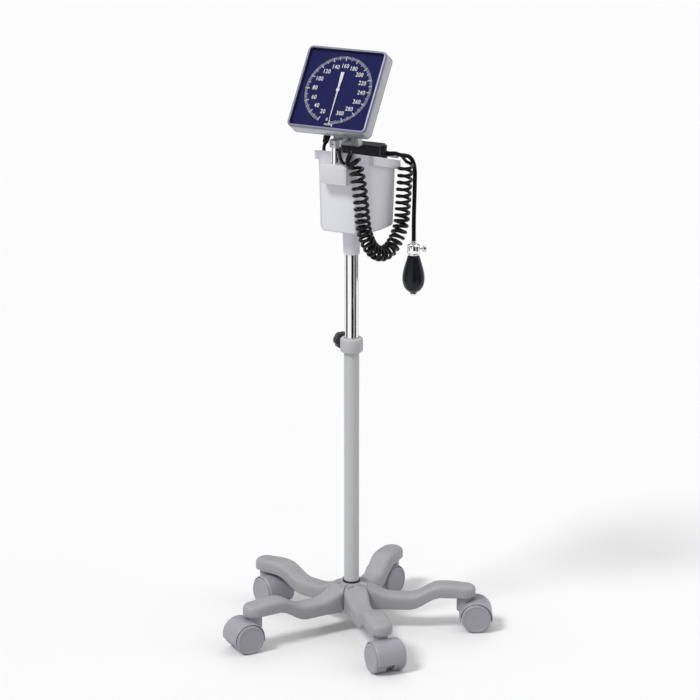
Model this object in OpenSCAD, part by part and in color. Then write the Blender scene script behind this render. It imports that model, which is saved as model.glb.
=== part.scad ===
// Mobile aneroid blood pressure gauge on a five-legged rolling stand.
// Millimetres. The origin is on the floor, on the column's axis. The dial and the basket front face -Y.

/* [Base] */
// Distance from the column's axis to each caster stem
boss_reach = 190; // [175:1:215]
// Turn of the five arms about the column
base_turn = 24.5; // [0:0.5:71.5]
// Height of the arms' flat underside above the floor
arm_under = 36; // [33:1:42]
// Height of the arms' back at mid length
arm_dip = 60; // [56:1:64]
// Height of the raised outer end of the arms
arm_hump = 80; // [76:1:84]
// Width of the arms at mid length
arm_w = 36; // [32:1:38]
// Width of the border about the recess under the arms
arm_wall = 3.2; // [2.5:0.1:4]
// Radius of the caster bosses
boss_r = 19.5; // [17:0.5:21]
// Radius of the hub
hub_r = 29; // [27:1:33]
// Height of the hub's top above the floor
hub_top = 80; // [77:1:84]

/* [Casters] */
// Diameter of the caster wheels
wheel_d = 50; // [48:1:52]
// Width of one caster wheel
wheel_w = 21.5; // [18:0.5:23]
// Distance from a caster's stem to its axle
caster_trail = 20; // [17:1:22]
// Thickness of the web between the twin wheels
web_w = 12; // [10:0.5:14]
// Height of a caster's neck above the floor
caster_h = 58.5; // [57:0.5:61]
// Radius of a caster's neck
neck_r = 12.5; // [11:0.5:14]
// Radius of the steel caster stem
stem_r = 5; // [4:0.5:5.5]
// Radius of the wheel axle
axle_r = 3; // [2.5:0.5:4]
// Wall of the caster hood
hood_wall = 1.9; // [1.6:0.1:2.4]

/* [Column] */
// Diameter of the painted lower tube
lower_d = 25.4; // [25:0.1:26]
// Diameter of the chromed upper tube
upper_d = 22.2; // [21.8:0.1:22.4]
// Wall of both column tubes
tube_wall = 1.2; // [1:0.1:1.4]
// Height of the lower tube's top end
lower_top = 489; // [460:1:520]
// Diameter of the lock collar
collar_d = 37.6; // [36:0.2:40]
// Height of the lock collar
collar_h = 24; // [22:1:30]
// Length of the upper tube
upper_len = 440; // [400:1:460]
// Length of chromed tube that shows above the collar
upper_show = 142; // [60:1:180]
// Direction in which the lock knob points, from +X
knob_dir = 144; // [120:1:240]
// Diameter of the lock knob
knob_d = 28; // [24:1:34]

/* [Basket] */
// Height of the basket at its front wall
tub_h = 134; // [120:1:145]
// Width of the flat front wall
tub_front_w = 64; // [60:1:68]
// Greatest width of the basket
tub_w = 112; // [108:1:118]
// Distance from the column's axis to the front wall
tub_front = 47; // [46:0.5:48]
// Distance from the column's axis to the back wall
tub_back = 68; // [66:1:76]
// Radius of the basket's back corners
back_r = 28; // [24:1:36]
// Wall of the basket
tub_wall = 2.6; // [2:0.1:3.2]
// Size of the basket's bottom beside its rim
tub_taper = 0.94; // [0.92:0.01:0.97]
// Slope of the rim down to the back
rim_slope = 14.8; // [12:0.2:16]
// Height of the turned-out lip
lip_h = 14; // [11:1:16]
// Reach of the lip beyond the wall
lip_out = 6; // [4:0.5:7]
// Distance in front of the column's axis at which the lip starts on both sides
lip_start = 26; // [20:1:30]
// Length of the sleeve under the basket
sleeve_len = 43.5; // [38:0.5:50]

/* [Gauge holder] */
// Width of the block on the basket front that holds the gauge post
holder_w = 49.2; // [44:0.2:54]
// Height of the holder block
holder_h = 32; // [28:1:38]
// Distance from the column's axis to the holder's front face
holder_front = 64; // [62:0.5:67]
// Diameter of the chromed gauge post
post_d = 12.7; // [12:0.1:14]
// Distance from the column's axis to the gauge post
post_y = 55; // [54:0.5:57]
// Length of post that shows between the holder and the tilt bracket
post_show = 27.5; // [25:0.5:32]
// Width of the tilt bracket's cross block
yoke_w = 46; // [44:1:46]

/* [Gauge] */
// Side of the square gauge case
case_w = 144.5; // [140:0.5:150]
// Side of the opening in the front frame
face_w = 131.4; // [127:0.2:134]
// Corner radius of the gauge case
case_r = 9; // [6:0.5:12]
// Depth of the front frame behind the dial
frame_back = 18; // [16:1:22]
// Height of the frame's front edge above the dial
frame_front = 6; // [5.5:0.5:8]
// Radius of the round can behind the frame
can_r = 52; // [48:1:54]
// Depth of the round can
can_depth = 34; // [34:1:38]
// Lean of the dial back from upright
head_lean = 33.8; // [28:0.2:40]
// Height of the dial's centre above the tilt bracket's foot
face_up = 91; // [87:0.5:96]
// Distance of the dial's centre in front of the column's axis
face_y = 45.9; // [43:0.1:48]
// Length of the needle from its hub to the tip
needle_len = 54; // [48:1:58]
// Length of the needle's tail
tail_len = 31; // [24:1:34]

/* [Hoses and cuff] */
// Outer diameter of the coiled hose
hose_d = 5; // [4.6:0.1:5.2]
// Outer diameter of the coil that the hose is wound to
coil_d = 26; // [24:0.5:27]
// Number of curls in the coiled hose
curls = 33; // [31:1:36]
// How much further apart the top curls hang than the bottom ones
curl_stretch = 0.6; // [0.3:0.05:0.7]
// Diameter of the bulb tube
bulb_tube_d = 7; // [6:0.5:8]
// Diameter of the inflation bulb
bulb_d = 37; // [33:1:40]
// Length of the inflation bulb
bulb_len = 64; // [56:1:70]
// Width of the folded cuff
cuff_w = 88; // [80:1:90]
// Thickness of the folded cuff
cuff_t = 30; // [26:1:30]
// Height of the folded cuff
cuff_h = 130; // [126:1:134]

/* [Hidden] */
$fn = 48;
// Radial running clearance of a shaft in its bore
run_gap = 0.06;
// Gap between faces that only meet
seat_gap = 0.3;
// Headings of the five casters, as angles of their trailing side from +X
headings = [28, -38, -124, -26, -102];
// Order of the arms, clockwise from base_turn
arms = [for (i = [0:4]) base_turn - 72*i];
// How far a cutter reaches past what it cuts
past = 300;
boss_under = caster_h + seat_gap;
wheel_r = wheel_d/2;
hood_r = wheel_r + 1.2 + hood_wall;
hood_w = web_w + 2*wheel_w - 3;
hub_floor = arm_under + 7;
lower_r = lower_d/2;
upper_r = upper_d/2;
collar_z = lower_top + 17.5 - collar_h;
collar_top = collar_z + collar_h;
sleeve_z = collar_top + upper_show;
tub_z = sleeve_z + sleeve_len;
rim_z = tub_z + tub_h;
upper_top = tub_z - 1.5;
upper_bottom = upper_top - upper_len;
bush_r = upper_r + 3;
holder_top = rim_z - 18;
yoke_z = holder_top + post_show;
face_z = yoke_z + face_up;
post_top = yoke_z + 10;
flange_t = 2;
can_back = frame_back + flange_t + can_depth;
// The tilt pin, measured on the dial's own axes: down from the centre and behind the dial
pin_down = 40;
pin_back = can_back + 12;
pin_r = 3;
lug_r = 7;
screw_r = 1.5;
hose_r = hose_d/2;
curl_r = coil_d/2 - hose_r;
face = [0, -face_y, face_z];
// The hose elbow behind the can, on the dial's own axes: its place, and its lower end
elbow_x = -30;
elbow_y = -30;
elbow_back = can_back + 6;
elbow_end = -70;
// Gear train of the movement
gear_module = 0.5;
pinion_teeth = 8;
sector_teeth = 96;
pinion_r = gear_module*pinion_teeth/2;
sector_r = gear_module*sector_teeth/2;
gear_apart = pinion_r + sector_r + 0.08;
needle_sweep = 339;
sector_sweep = needle_sweep*pinion_teeth/sector_teeth;
gear_z = -24;
frame_low = -36;
frame_high = -13;

function unit(v) = v/norm(v);
function mix(a, b, t) = a + (b - a)*t;
function smooth(t) = let (s = max(0, min(1, t))) s*s*(3 - 2*s);

// A plan outline whose corners are rounded, each with its own radius
function corner(p, a, b, r, n) =
    let (
        v1 = unit(p - a),
        v2 = unit(b - a),
        half = acos(v1*v2)/2,
        c = a + unit(v1 + v2)*r/sin(half),
        s = a + v1*r/tan(half) - c,
        e = a + v2*r/tan(half) - c,
        a0 = atan2(s[1], s[0]),
        turn = atan2(s[0]*e[1] - s[1]*e[0], s*e)
    )
    [for (i = [0:n]) c + r*[cos(a0 + turn*i/n), sin(a0 + turn*i/n)]];
function rounded(pts, rads, n = 6) =
    let (m = len(pts))
    [for (i = [0:m - 1]) each corner(pts[(i + m - 1)%m], pts[i], pts[(i + 1)%m], rads[i], n)];

// A solid whose skin joins rings of points, each turning right-handed about the way to the next
module skin(rings) {
    n = len(rings[0]);
    m = len(rings);
    sides = [for (i = [0:m - 2], j = [0:n - 1])
        let (a = i*n + j, b = i*n + (j + 1)%n, c = a + n, d = b + n)
        each [[a, c, d], [a, d, b]]];
    last = (m - 1)*n;
    start = [for (j = [1:n - 2]) [0, j, j + 1]];
    end = [for (j = [1:n - 2]) [last, last + j + 1, last + j]];
    polyhedron(points = [for (r = rings) each r], faces = concat(sides, start, end), convexity = 8);
}

// Points, ways and sideways directions along a route, carried on without twist
function way(pts, i) = let (m = len(pts) - 1) unit(pts[min(i + 1, m)] - pts[max(i - 1, 0)]);
function across(t, v) = unit(v - t*(t*v));
function sides_of(pts, first) =
    [for (i = 0, v = across(way(pts, 0), first); i < len(pts);
        i = i + 1, v = i < len(pts) ? across(way(pts, i), v) : v) v];
function ring_at(p, t, v, r, n) =
    let (b = cross(t, v)) [for (k = [0:n - 1]) p + r*(cos(360*k/n)*v + sin(360*k/n)*b)];
function tube_rings(pts, r, n, first) =
    let (vs = sides_of(pts, first))
    [for (i = [0:len(pts) - 1]) ring_at(pts[i], way(pts, i), vs[i], r, n)];

// A smooth curve through points, with steps pieces between each two
function spline(pts, steps) =
    let (m = len(pts) - 1)
    [for (i = [0:m - 1], k = [0:i == m - 1 ? steps : steps - 1])
        let (
            t = k/steps,
            p0 = i > 0 ? pts[i - 1] : 2*pts[0] - pts[1],
            p3 = i + 2 <= m ? pts[i + 2] : 2*pts[m] - pts[m - 1],
            p1 = pts[i],
            p2 = pts[i + 1]
        )
        0.5*(2*p1 + (p2 - p0)*t + (2*p0 - 5*p1 + 4*p2 - p3)*t*t + (3*p1 - p0 - 3*p2 + p3)*t*t*t)];
function at_length(pts, run, s) =
    let (
        i = max([for (k = [0:len(pts) - 2]) run[k] <= s ? k : 0]),
        t = (s - run[i])/(run[i + 1] - run[i])
    )
    mix(pts[i], pts[i + 1], t);

module at_arm(i) { rotate([0, 0, arms[i]]) translate([boss_reach, 0, 0]) children(); }
module at_caster(i) { at_arm(i) rotate([0, 0, headings[i] - arms[i]]) children(); }
// Stands children up on the dial: x to the right, y up the dial, z out of it
module on_face() { translate(face) rotate([90 - head_lean, 0, 0]) children(); }
module ring(r_out, r_in, h) {
    difference() {
        cylinder(r = r_out, h = h);
        translate([0, 0, -1]) cylinder(r = r_in, h = h + 2);
    }
}
module rounded_square(w, r) {
    polygon(rounded([[-w/2, -w/2], [w/2, -w/2], [w/2, w/2], [-w/2, w/2]], [r, r, r, r]));
}

// Section of an arm at a distance from the column: a rounded roof on straight sides
function arm_low(r) = mix(arm_under, boss_under, smooth((r - 0.47*boss_reach)/(0.28*boss_reach)));
// How far the domed end of an arm has come down at its tip
arm_fall = 5;
function arm_high(r) =
    mix(mix(hub_top - 4, arm_dip, smooth((r - 18)/50)), arm_hump,
        smooth((r - 0.52*boss_reach)/(0.26*boss_reach)))
    - arm_fall*smooth((r - 0.84*boss_reach)/(0.3*boss_reach));
function arm_half(r) =
    mix(mix(arm_w/2 + 3.5, arm_w/2, smooth((r - 20)/50)), boss_r,
        smooth((r - 0.6*boss_reach)/(0.3*boss_reach)));
function arm_ring(r, low, high, half, round) =
    [for (p = concat([[-half, low], [half, low]],
        [for (k = [0:4]) [half - round + round*cos(90*k/4), high - round + round*sin(90*k/4)]],
        [for (k = [0:4]) [round - half - round*sin(90*k/4), high - round + round*cos(90*k/4)]]))
        [r, p[0], p[1]]];
// The arm's round end about the caster boss: a is the angle from straight across to straight on
function end_ring(a) =
    let (half = boss_r*cos(a), r = boss_reach + boss_r*sin(a))
    arm_ring(r, boss_under, arm_high(r) - 4*(1 - cos(a)), half, min(11, 0.8*half));
arm_steps = 14;
module arm_outside() {
    stations = [for (k = [0:arm_steps]) mix(10, boss_reach - 4, k/arm_steps)];
    skin(concat([for (r = stations) arm_ring(r, arm_low(r), arm_high(r), arm_half(r), 11)],
        [for (a = [0, 25, 45, 62, 76, 86]) end_ring(a)]));
}
// The shallow recess under an arm
module arm_recess() {
    deep = 5;
    stations = [for (k = [0:arm_steps]) mix(hub_r + 12, boss_reach - boss_r - 2, k/arm_steps)];
    skin([for (r = stations) arm_ring(r, arm_low(r) - 2, arm_low(r) + deep, arm_half(r) - arm_wall, 2)]);
}
module base_star() {
    seam_w = 1.2;
    plate_r = hub_r + 10;
    color([0.68, 0.68, 0.7]) difference() {
        union() {
            rotate_extrude($fn = 64)
                polygon([[0, arm_under - 1.5], [plate_r, arm_under - 1.5], [plate_r, arm_under + 2],
                    [hub_r, arm_under + 2], [hub_r, hub_top - 14], [hub_r - 4, hub_top - 7],
                    [lower_r + 4.5, hub_top], [0, hub_top]]);
            for (i = [0:4]) rotate([0, 0, arms[i]]) arm_outside();
        }
        for (i = [0:4]) rotate([0, 0, arms[i]]) arm_recess();
        for (i = [0:4]) at_arm(i) translate([0, 0, boss_under - 1])
            cylinder(r = stem_r + run_gap, h = 18);
        for (i = [0:4]) rotate([0, 0, arms[i] + 36]) translate([hub_r - 2.5, -seam_w/2, arm_under + 4])
            cube([12, seam_w, hub_top]);
        translate([0, 0, hub_floor]) cylinder(r = lower_r + run_gap, h = hub_top);
        translate([0, 0, arm_under - 2]) cylinder(r = 5.2, h = 20);
    }
}
module column_seal() {
    color([0.08, 0.08, 0.09]) translate([0, 0, hub_top])
        rotate_extrude($fn = 48)
            polygon([[lower_r + run_gap, 0], [lower_r + 2.2, 0], [lower_r + 2.2, 1.6],
                [lower_r + 1.2, 2.8], [lower_r + run_gap, 3]]);
}
module foot_bolt() {
    color([0.6, 0.6, 0.62]) {
        translate([0, 0, arm_under - 3.8]) ring(11, 5.2, 2.2);
        translate([0, 0, arm_under - 10.6]) cylinder(r = 9.2, h = 6.7, $fn = 6);
        translate([0, 0, arm_under - 3.9]) cylinder(r = 5, h = 32);
    }
}
module foot_insert() {
    color([0.7, 0.7, 0.72]) translate([0, 0, hub_floor])
        ring(lower_r - tube_wall - run_gap, 5 + run_gap, 42);
}
module lower_tube() {
    color([0.76, 0.77, 0.78]) translate([0, 0, hub_floor])
        ring(lower_r, lower_r - tube_wall, lower_top - hub_floor);
}
module at_knob() {
    translate([0, 0, collar_z + collar_h*0.42]) rotate([0, 0, knob_dir]) rotate([0, 90, 0]) children();
}
module lock_collar() {
    round = 2.5;
    color([0.7, 0.71, 0.72]) difference() {
        union() {
            translate([0, 0, collar_z]) rotate_extrude($fn = 64)
                polygon([[0, 0], [collar_d/2 - round, 0], [collar_d/2, round],
                    [collar_d/2, collar_h - round], [collar_d/2 - round, collar_h], [0, collar_h]]);
            at_knob() translate([0, 0, collar_d/2 - 6]) cylinder(r = 8, h = 13);
        }
        translate([0, 0, collar_z - 1]) cylinder(r = lower_r + run_gap, h = lower_top - collar_z + 1);
        translate([0, 0, lower_top - 0.5]) cylinder(r = bush_r + run_gap, h = collar_top - 2 - lower_top);
        translate([0, 0, collar_z]) cylinder(r = upper_r + 1, h = collar_h + 1);
        at_knob() cylinder(r = 4 + run_gap, h = collar_d);
    }
}
module collar_bush() {
    color([0.85, 0.85, 0.82]) translate([0, 0, lower_top + 0.1])
        ring(bush_r, upper_r + run_gap, collar_top - lower_top - 2.9);
}
module lock_knob() {
    grip = collar_d/2 + 8;
    color([0.06, 0.06, 0.07]) at_knob() {
        translate([0, 0, bush_r + 0.3]) cylinder(r = 4, h = grip - bush_r);
        difference() {
            translate([0, 0, grip]) rotate_extrude($fn = 48)
                polygon([[0, 0], [7, 0], [9, 3], [knob_d/2 - 1.5, 4], [knob_d/2, 6],
                    [knob_d/2, 15], [knob_d/2 - 2, 17.5], [0, 18.5]]);
            for (k = [0:5]) rotate([0, 0, 60*k]) translate([knob_d/2 + 2.6, 0, grip + 3.5])
                cylinder(r = 4.6, h = 20);
        }
    }
}
module upper_tube() {
    color([0.85, 0.86, 0.88]) difference() {
        translate([0, 0, upper_bottom]) ring(upper_r, upper_r - tube_wall, upper_len);
        at_sleeve_screw() cylinder(r = 2.1, h = 40);
    }
}
module tube_guide() {
    guide_r = lower_r - tube_wall - 0.08;
    color([0.85, 0.85, 0.82]) {
        translate([0, 0, upper_bottom - 12]) cylinder(r = guide_r, h = 11.9);
        translate([0, 0, upper_bottom - 0.2]) cylinder(r = upper_r - tube_wall - run_gap, h = 18);
    }
}
module at_sleeve_screw() { translate([0, 0, sleeve_z + 15]) rotate([-90, 0, 0]) children(); }

// Plan of the basket at its rim: narrow flat front, slanting corners, a broad round back
tub_plan = let (f = tub_front_w/2, s = tub_w/2)
    rounded([[-f, -tub_front], [f, -tub_front], [s - 6, -tub_front + 26], [s, 8], [s, tub_back],
        [-s, tub_back], [-s, 8], [-s + 6, -tub_front + 26]],
        [6, 6, 12, 60, back_r, back_r, 60, 12]);
module rim_plane() {
    translate([0, -tub_front, rim_z]) rotate([-rim_slope, 0, 0]) children();
}
module tub_outside(grow = 0) {
    translate([0, 0, tub_z]) linear_extrude(height = tub_h + 1, scale = 1/tub_taper)
        scale(tub_taper) offset(delta = grow) polygon(tub_plan);
}
module tub_inside() {
    translate([0, 0, tub_z + tub_wall + 0.4]) linear_extrude(height = tub_h, scale = 1/tub_taper)
        scale(tub_taper) offset(delta = -tub_wall) polygon(tub_plan);
}
module lip_band() {
    intersection() {
        translate([0, 0, tub_z + 40]) linear_extrude(height = tub_h)
            offset(delta = lip_out) polygon(tub_plan);
        rim_plane() translate([-past/2, -past/2, -lip_h]) cube([past, past, lip_h]);
    }
}
module basket() {
    sleeve_r = upper_r + 2.2;
    color([0.88, 0.88, 0.91]) difference() {
        union() {
            tub_outside();
            difference() {
                lip_band();
                translate([-past/2, -past - lip_start, rim_z - past/2]) cube(past);
            }
            translate([0, 0, sleeve_z]) rotate_extrude($fn = 64)
                polygon([[0, 0], [sleeve_r, 0], [sleeve_r + 2.1, sleeve_len],
                    [sleeve_r + 2.1, sleeve_len + 3], [0, sleeve_len + 3]]);
        }
        tub_inside();
        rim_plane() translate([-past/2, -past/2, 0]) cube(past);
        translate([0, 0, sleeve_z - 1]) cylinder(r = upper_r + run_gap, h = upper_top - sleeve_z + 1.1);
        at_sleeve_screw() cylinder(r = 2.1, h = 40);
        for (x = holder_screw_x) at_holder_screw(x) cylinder(r = 2.1, h = 30, center = true);
    }
}
module sleeve_screw() {
    color([0.6, 0.6, 0.62]) at_sleeve_screw() {
        translate([0, 0, upper_r - tube_wall - 2]) cylinder(r = 2, h = 8);
        translate([0, 0, upper_r + 3.1]) cylinder(r = 4, h = 2.6);
    }
}
holder_screw_x = [-16, 16];
module at_holder_screw(x) {
    translate([x, -tub_front + 2, holder_top - holder_h/2]) rotate([90, 0, 0]) children();
}
module post_holder() {
    color([0.9, 0.9, 0.92]) difference() {
        translate([0, -holder_front, holder_top]) mirror([0, 0, 1]) linear_extrude(height = holder_h)
            polygon(rounded([[-holder_w/2, 0], [holder_w/2, 0], [holder_w/2, 22], [-holder_w/2, 22]],
                [2.5, 2.5, 1, 1]));
        tub_outside();
        translate([0, -post_y, holder_top - 26]) cylinder(r = post_d/2 + run_gap, h = 40);
        for (x = holder_screw_x) at_holder_screw(x) cylinder(r = screw_r + run_gap, h = 14);
    }
}
module holder_screws() {
    color([0.6, 0.6, 0.62]) for (x = holder_screw_x) at_holder_screw(x) {
        translate([0, 0, -3.9]) cylinder(r = 3.4, h = 2.2);
        translate([0, 0, -1.8]) cylinder(r = screw_r, h = 13);
    }
}
module gauge_post() {
    long = post_top - holder_top + 25.5;
    color([0.85, 0.86, 0.88]) translate([0, -post_y, holder_top - 25.5])
        rotate_extrude($fn = 48)
            polygon([[0, 0], [post_d/2, 0], [post_d/2, long - 1], [post_d/2 - 1, long], [0, long]]);
}
// Places children on the tilt pin, with x along the pin
module at_pin() { on_face() translate([0, -pin_down, -pin_back]) children(); }
pin_y = -face_y - pin_down*sin(head_lean) + pin_back*cos(head_lean);
pin_z = face_z - pin_down*cos(head_lean) - pin_back*sin(head_lean);
module tilt_bracket() {
    hub_h = 12.5;
    ear_t = 6;
    ear_x = lug_x + lug_t + seat_gap;
    bridge_w = 14;
    block_d = 2*lug_r;
    block_z = yoke_z - 4;
    block_h = 17.2;
    rib_step = 5;
    groove_w = 3.6;
    color([0.78, 0.79, 0.81]) difference() {
        union() {
            translate([0, -post_y, yoke_z]) cylinder(r = 9.5, h = hub_h);
            translate([-bridge_w/2, -post_y, yoke_z + 3]) cube([bridge_w, post_y + pin_y + 2, 7.5]);
            translate([-yoke_w/2, pin_y - block_d/2, block_z]) cube([yoke_w, block_d, block_h]);
            for (s = [-1, 1]) hull() {
                translate([s*(ear_x + ear_t/2), pin_y, pin_z]) rotate([0, 90, 0])
                    cylinder(r = lug_r, h = ear_t, center = true, $fn = 32);
                translate([s*(ear_x + ear_t/2) - ear_t/2, pin_y - lug_r, block_z + 4])
                    cube([ear_t, 2*lug_r, 2]);
            }
        }
        translate([0, -post_y, yoke_z - 1]) cylinder(r = post_d/2 + run_gap, h = post_top - yoke_z + 1.1);
        translate([-ear_x, pin_y - block_d/2 - 1, pin_z - lug_r - 1]) cube([2*ear_x, block_d + 2, past]);
        translate([0, pin_y, pin_z]) rotate([0, 90, 0])
            cylinder(r = pin_r + run_gap, h = past, center = true);
        // The ribbed recess in the block's front
        for (k = [-3.5:3.5])
            translate([rib_step*k - groove_w/2, pin_y - block_d/2 - 1, block_z + 3])
                cube([groove_w, 2.5, 11]);
    }
}
lug_x = 5;
lug_t = 8;
module tilt_bolt() {
    reach = lug_x + lug_t + seat_gap + 6;
    color([0.65, 0.66, 0.68]) translate([0, pin_y, pin_z]) rotate([0, 90, 0]) {
        translate([0, 0, -reach - 0.1]) cylinder(r = pin_r, h = 2*reach + 4);
        translate([0, 0, -reach - 3.2]) cylinder(r = 5.5, h = 3.1);
        translate([0, 0, reach + 0.1]) difference() {
            cylinder(r = 5.6, h = 4, $fn = 6);
        }
    }
}
module rear_housing() {
    color([0.75, 0.76, 0.79]) on_face() difference() {
        union() {
            translate([0, 0, -frame_back - flange_t]) linear_extrude(height = flange_t)
                rounded_square(case_w, case_r);
            translate([0, 0, -can_back]) rotate_extrude($fn = 72)
                polygon([[0, 0], [can_r - 4, 0], [can_r, 4], [can_r, can_depth + 0.5],
                    [0, can_depth + 0.5]]);
            for (s = [-1, 1]) hull() {
                translate([s*(lug_x + lug_t/2), -pin_down, -pin_back]) rotate([0, 90, 0])
                    cylinder(r = lug_r, h = lug_t, center = true, $fn = 32);
                translate([s*(lug_x + lug_t/2) - lug_t/2, -pin_down - lug_r, -can_back])
                    cube([lug_t, 2*lug_r, 1]);
            }
        }
        translate([0, 0, -can_back + 2.5]) cylinder(r = can_r - 2.5, h = can_depth + 10);
        translate([0, -pin_down, -pin_back]) rotate([0, 90, 0])
            cylinder(r = pin_r + run_gap, h = past, center = true);
        for (x = [-1, 1], y = [-1, 1]) translate([x*case_screw, y*case_screw, -frame_back - 10])
            cylinder(r = screw_r + 0.2, h = 20);
        translate([elbow_x, elbow_y, -can_back - 1]) cylinder(r = 3 + run_gap, h = 6);
    }
}
case_screw = case_w/2 - 9.2;
module front_frame() {
    inner = case_w - 6;
    color([0.72, 0.73, 0.77]) on_face() difference() {
        union() {
            difference() {
                translate([0, 0, -frame_back]) linear_extrude(height = frame_back + frame_front)
                    rounded_square(case_w, case_r);
                translate([0, 0, -frame_back - 1]) linear_extrude(height = frame_back + frame_front - 1)
                    rounded_square(inner, case_r - 3);
                translate([0, 0, frame_front - 3]) linear_extrude(height = 4)
                    rounded_square(face_w, 5);
            }
            for (x = [-1, 1], y = [-1, 1]) translate([x*case_screw, y*case_screw, -frame_back])
                cylinder(r = 7, h = frame_back - 1.05);
        }
        for (x = [-1, 1], y = [-1, 1]) translate([x*case_screw, y*case_screw, -frame_back - 1])
            cylinder(r = screw_r + run_gap, h = 14);
    }
}
module window() {
    wide = case_w - 6.6;
    top = frame_front - 2.1;
    color([0.8, 0.85, 0.9, 0.3]) on_face() difference() {
        translate([0, 0, 0.05]) linear_extrude(height = top - 0.05) rounded_square(wide, case_r - 3.3);
        translate([0, 0, -1]) linear_extrude(height = top - 0.4) rounded_square(face_w + 1, 5);
    }
}
module dial() {
    color([0.12, 0.13, 0.42]) on_face() difference() {
        translate([0, 0, -1]) linear_extrude(height = 1) rounded_square(case_w - 6.6, case_r - 3.3);
        translate([0, 0, -2]) cylinder(r = 2, h = 4);
    }
}
module case_screws() {
    color([0.6, 0.6, 0.62]) on_face() for (x = [-1, 1], y = [-1, 1])
        translate([x*case_screw, y*case_screw, -frame_back - flange_t - 1.8]) {
            cylinder(r = 2.8, h = 1.7);
            cylinder(r = screw_r, h = 14);
        }
}
module needle() {
    color([0.95, 0.95, 0.95]) on_face() translate([0, 0, 0.7]) difference() {
        union() {
            linear_extrude(height = 0.6)
                polygon([[-0.9, 0], [-0.35, -needle_len], [0.35, -needle_len], [0.9, 0],
                    [1.9, tail_len - 1], [1.2, tail_len], [-1.2, tail_len], [-1.9, tail_len - 1]]);
            cylinder(r = 2.6, h = 1.2);
        }
        translate([0, 0, -1]) cylinder(r = 0.6, h = 1.6);
    }
}
module tooth(r_root, r_tip, w_root, w_tip) {
    polygon([[-w_root/2, r_root], [w_root/2, r_root], [w_tip/2, r_tip], [-w_tip/2, r_tip]]);
}
module pinion() {
    pitch = PI*gear_module;
    color([0.8, 0.65, 0.3]) on_face() {
        translate([0, 0, frame_low - 2]) cylinder(r = 0.58, h = 3.1 - frame_low);
        translate([0, 0, gear_z]) linear_extrude(height = 3) union() {
            circle(r = pinion_r - 0.42);
            for (k = [0:pinion_teeth - 1]) rotate([0, 0, 360*k/pinion_teeth])
                tooth(pinion_r - 0.6, pinion_r + 0.28, 0.4*pitch, 0.2*pitch);
        }
    }
}
module sector_gear() {
    pitch = PI*gear_module;
    step = 360/sector_teeth;
    count = ceil(sector_sweep/step) + 2;
    color([0.8, 0.65, 0.3]) on_face() translate([0, -gear_apart, 0]) {
        translate([0, 0, frame_low - 2]) cylinder(r = 0.8, h = frame_high - frame_low + 4);
        translate([0, 0, gear_z + 0.6]) linear_extrude(height = 1.8) union() {
            difference() {
                polygon(concat([[0, -1]],
                    [for (k = [0:12]) (sector_r - 0.55)*[sin(mix(-6, sector_sweep + 6, k/12)),
                        cos(mix(-6, sector_sweep + 6, k/12))]]));
                polygon([for (k = [0:8]) (sector_r - 4)*[sin(mix(0, sector_sweep, k/8)),
                        cos(mix(0, sector_sweep, k/8))],
                        9*[sin(sector_sweep), cos(sector_sweep)], [0, 9]]);
            }
            circle(r = 3);
            translate([-2, -11]) square([4, 11]);
            for (k = [-1:count]) rotate([0, 0, -step*(k + 0.5)])
                tooth(sector_r - 0.7, sector_r + 0.26, 0.4*pitch, 0.22*pitch);
        }
    }
}
module movement_frame() {
    posts = [[-18, 6], [18, 6], [-13, -36], [13, -36]];
    color([0.78, 0.66, 0.36]) on_face() difference() {
        union() {
            for (z = [frame_low, frame_high]) translate([0, 0, z]) linear_extrude(height = 1.5)
                polygon(rounded([[-22, -41], [22, -41], [24, 10], [-24, 10]], [4, 4, 5, 5]));
            for (p = posts) translate([p[0], p[1], frame_low])
                cylinder(r = 1.8, h = frame_high - frame_low);
            for (p = posts) translate([p[0]*1.15, p[1], -can_back + 2.6])
                cylinder(r = 1.6, h = can_back + frame_low - 2.5);
        }
        translate([0, 0, frame_low - 1]) cylinder(r = 0.58 + run_gap, h = 30);
        translate([0, -gear_apart, frame_low - 1]) cylinder(r = 0.8 + run_gap, h = 30);
    }
}
module capsule() {
    low = -can_back + 6.4;
    color([0.82, 0.7, 0.42]) on_face() translate([0, 14, low]) difference() {
        rotate_extrude($fn = 48)
            polygon([[0, 0], [6, 0], [6, 1], [13, 1.6], [14.5, 0.9], [17, 1.7], [17, 3], [14.5, 3.9],
                [13, 3.2], [6, 4.2], [4, 4.2], [4, 5.4], [13, 6], [14.5, 5.3], [17, 6.1], [17, 7.4],
                [14.5, 8.3], [13, 7.6], [4, 8.6], [0, 8.6]]);
    }
}
module inlet_pipe() {
    from = [elbow_x, elbow_y];
    to = [0, 14];
    heading = atan2(to[1] - from[1], to[0] - from[0]);
    color([0.8, 0.68, 0.4]) on_face() {
        translate([to[0], to[1], -can_back + 2.6]) cylinder(r = 5, h = 3.7);
        translate([from[0], from[1], -can_back + 3.4]) cylinder(r = 3.6, h = 4);
        translate([from[0], from[1], -can_back + 4.9]) rotate([0, 0, heading]) rotate([0, 90, 0])
            cylinder(r = 1.2, h = norm(to - from));
    }
}
module hose_elbow() {
    body_r = 6;
    color([0.1, 0.1, 0.11]) on_face() translate([elbow_x, elbow_y, -elbow_back]) difference() {
        union() {
            cylinder(r = body_r, h = elbow_back - can_back - 0.1);
            cylinder(r = 3, h = elbow_back - can_back + 3.3);
            sphere(r = body_r);
            rotate([90, 0, 0]) cylinder(r = body_r, h = 10);
            translate([0, -10, 0]) rotate([90, 0, 0]) cylinder(r = body_r + 0.5, h = 7, $fn = 6);
            rotate([90, 0, 0]) cylinder(r = body_r - 0.8, h = elbow_y - elbow_end);
        }
        rotate([90, 0, 0]) cylinder(r = 1.5, h = 60);
    }
}

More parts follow.
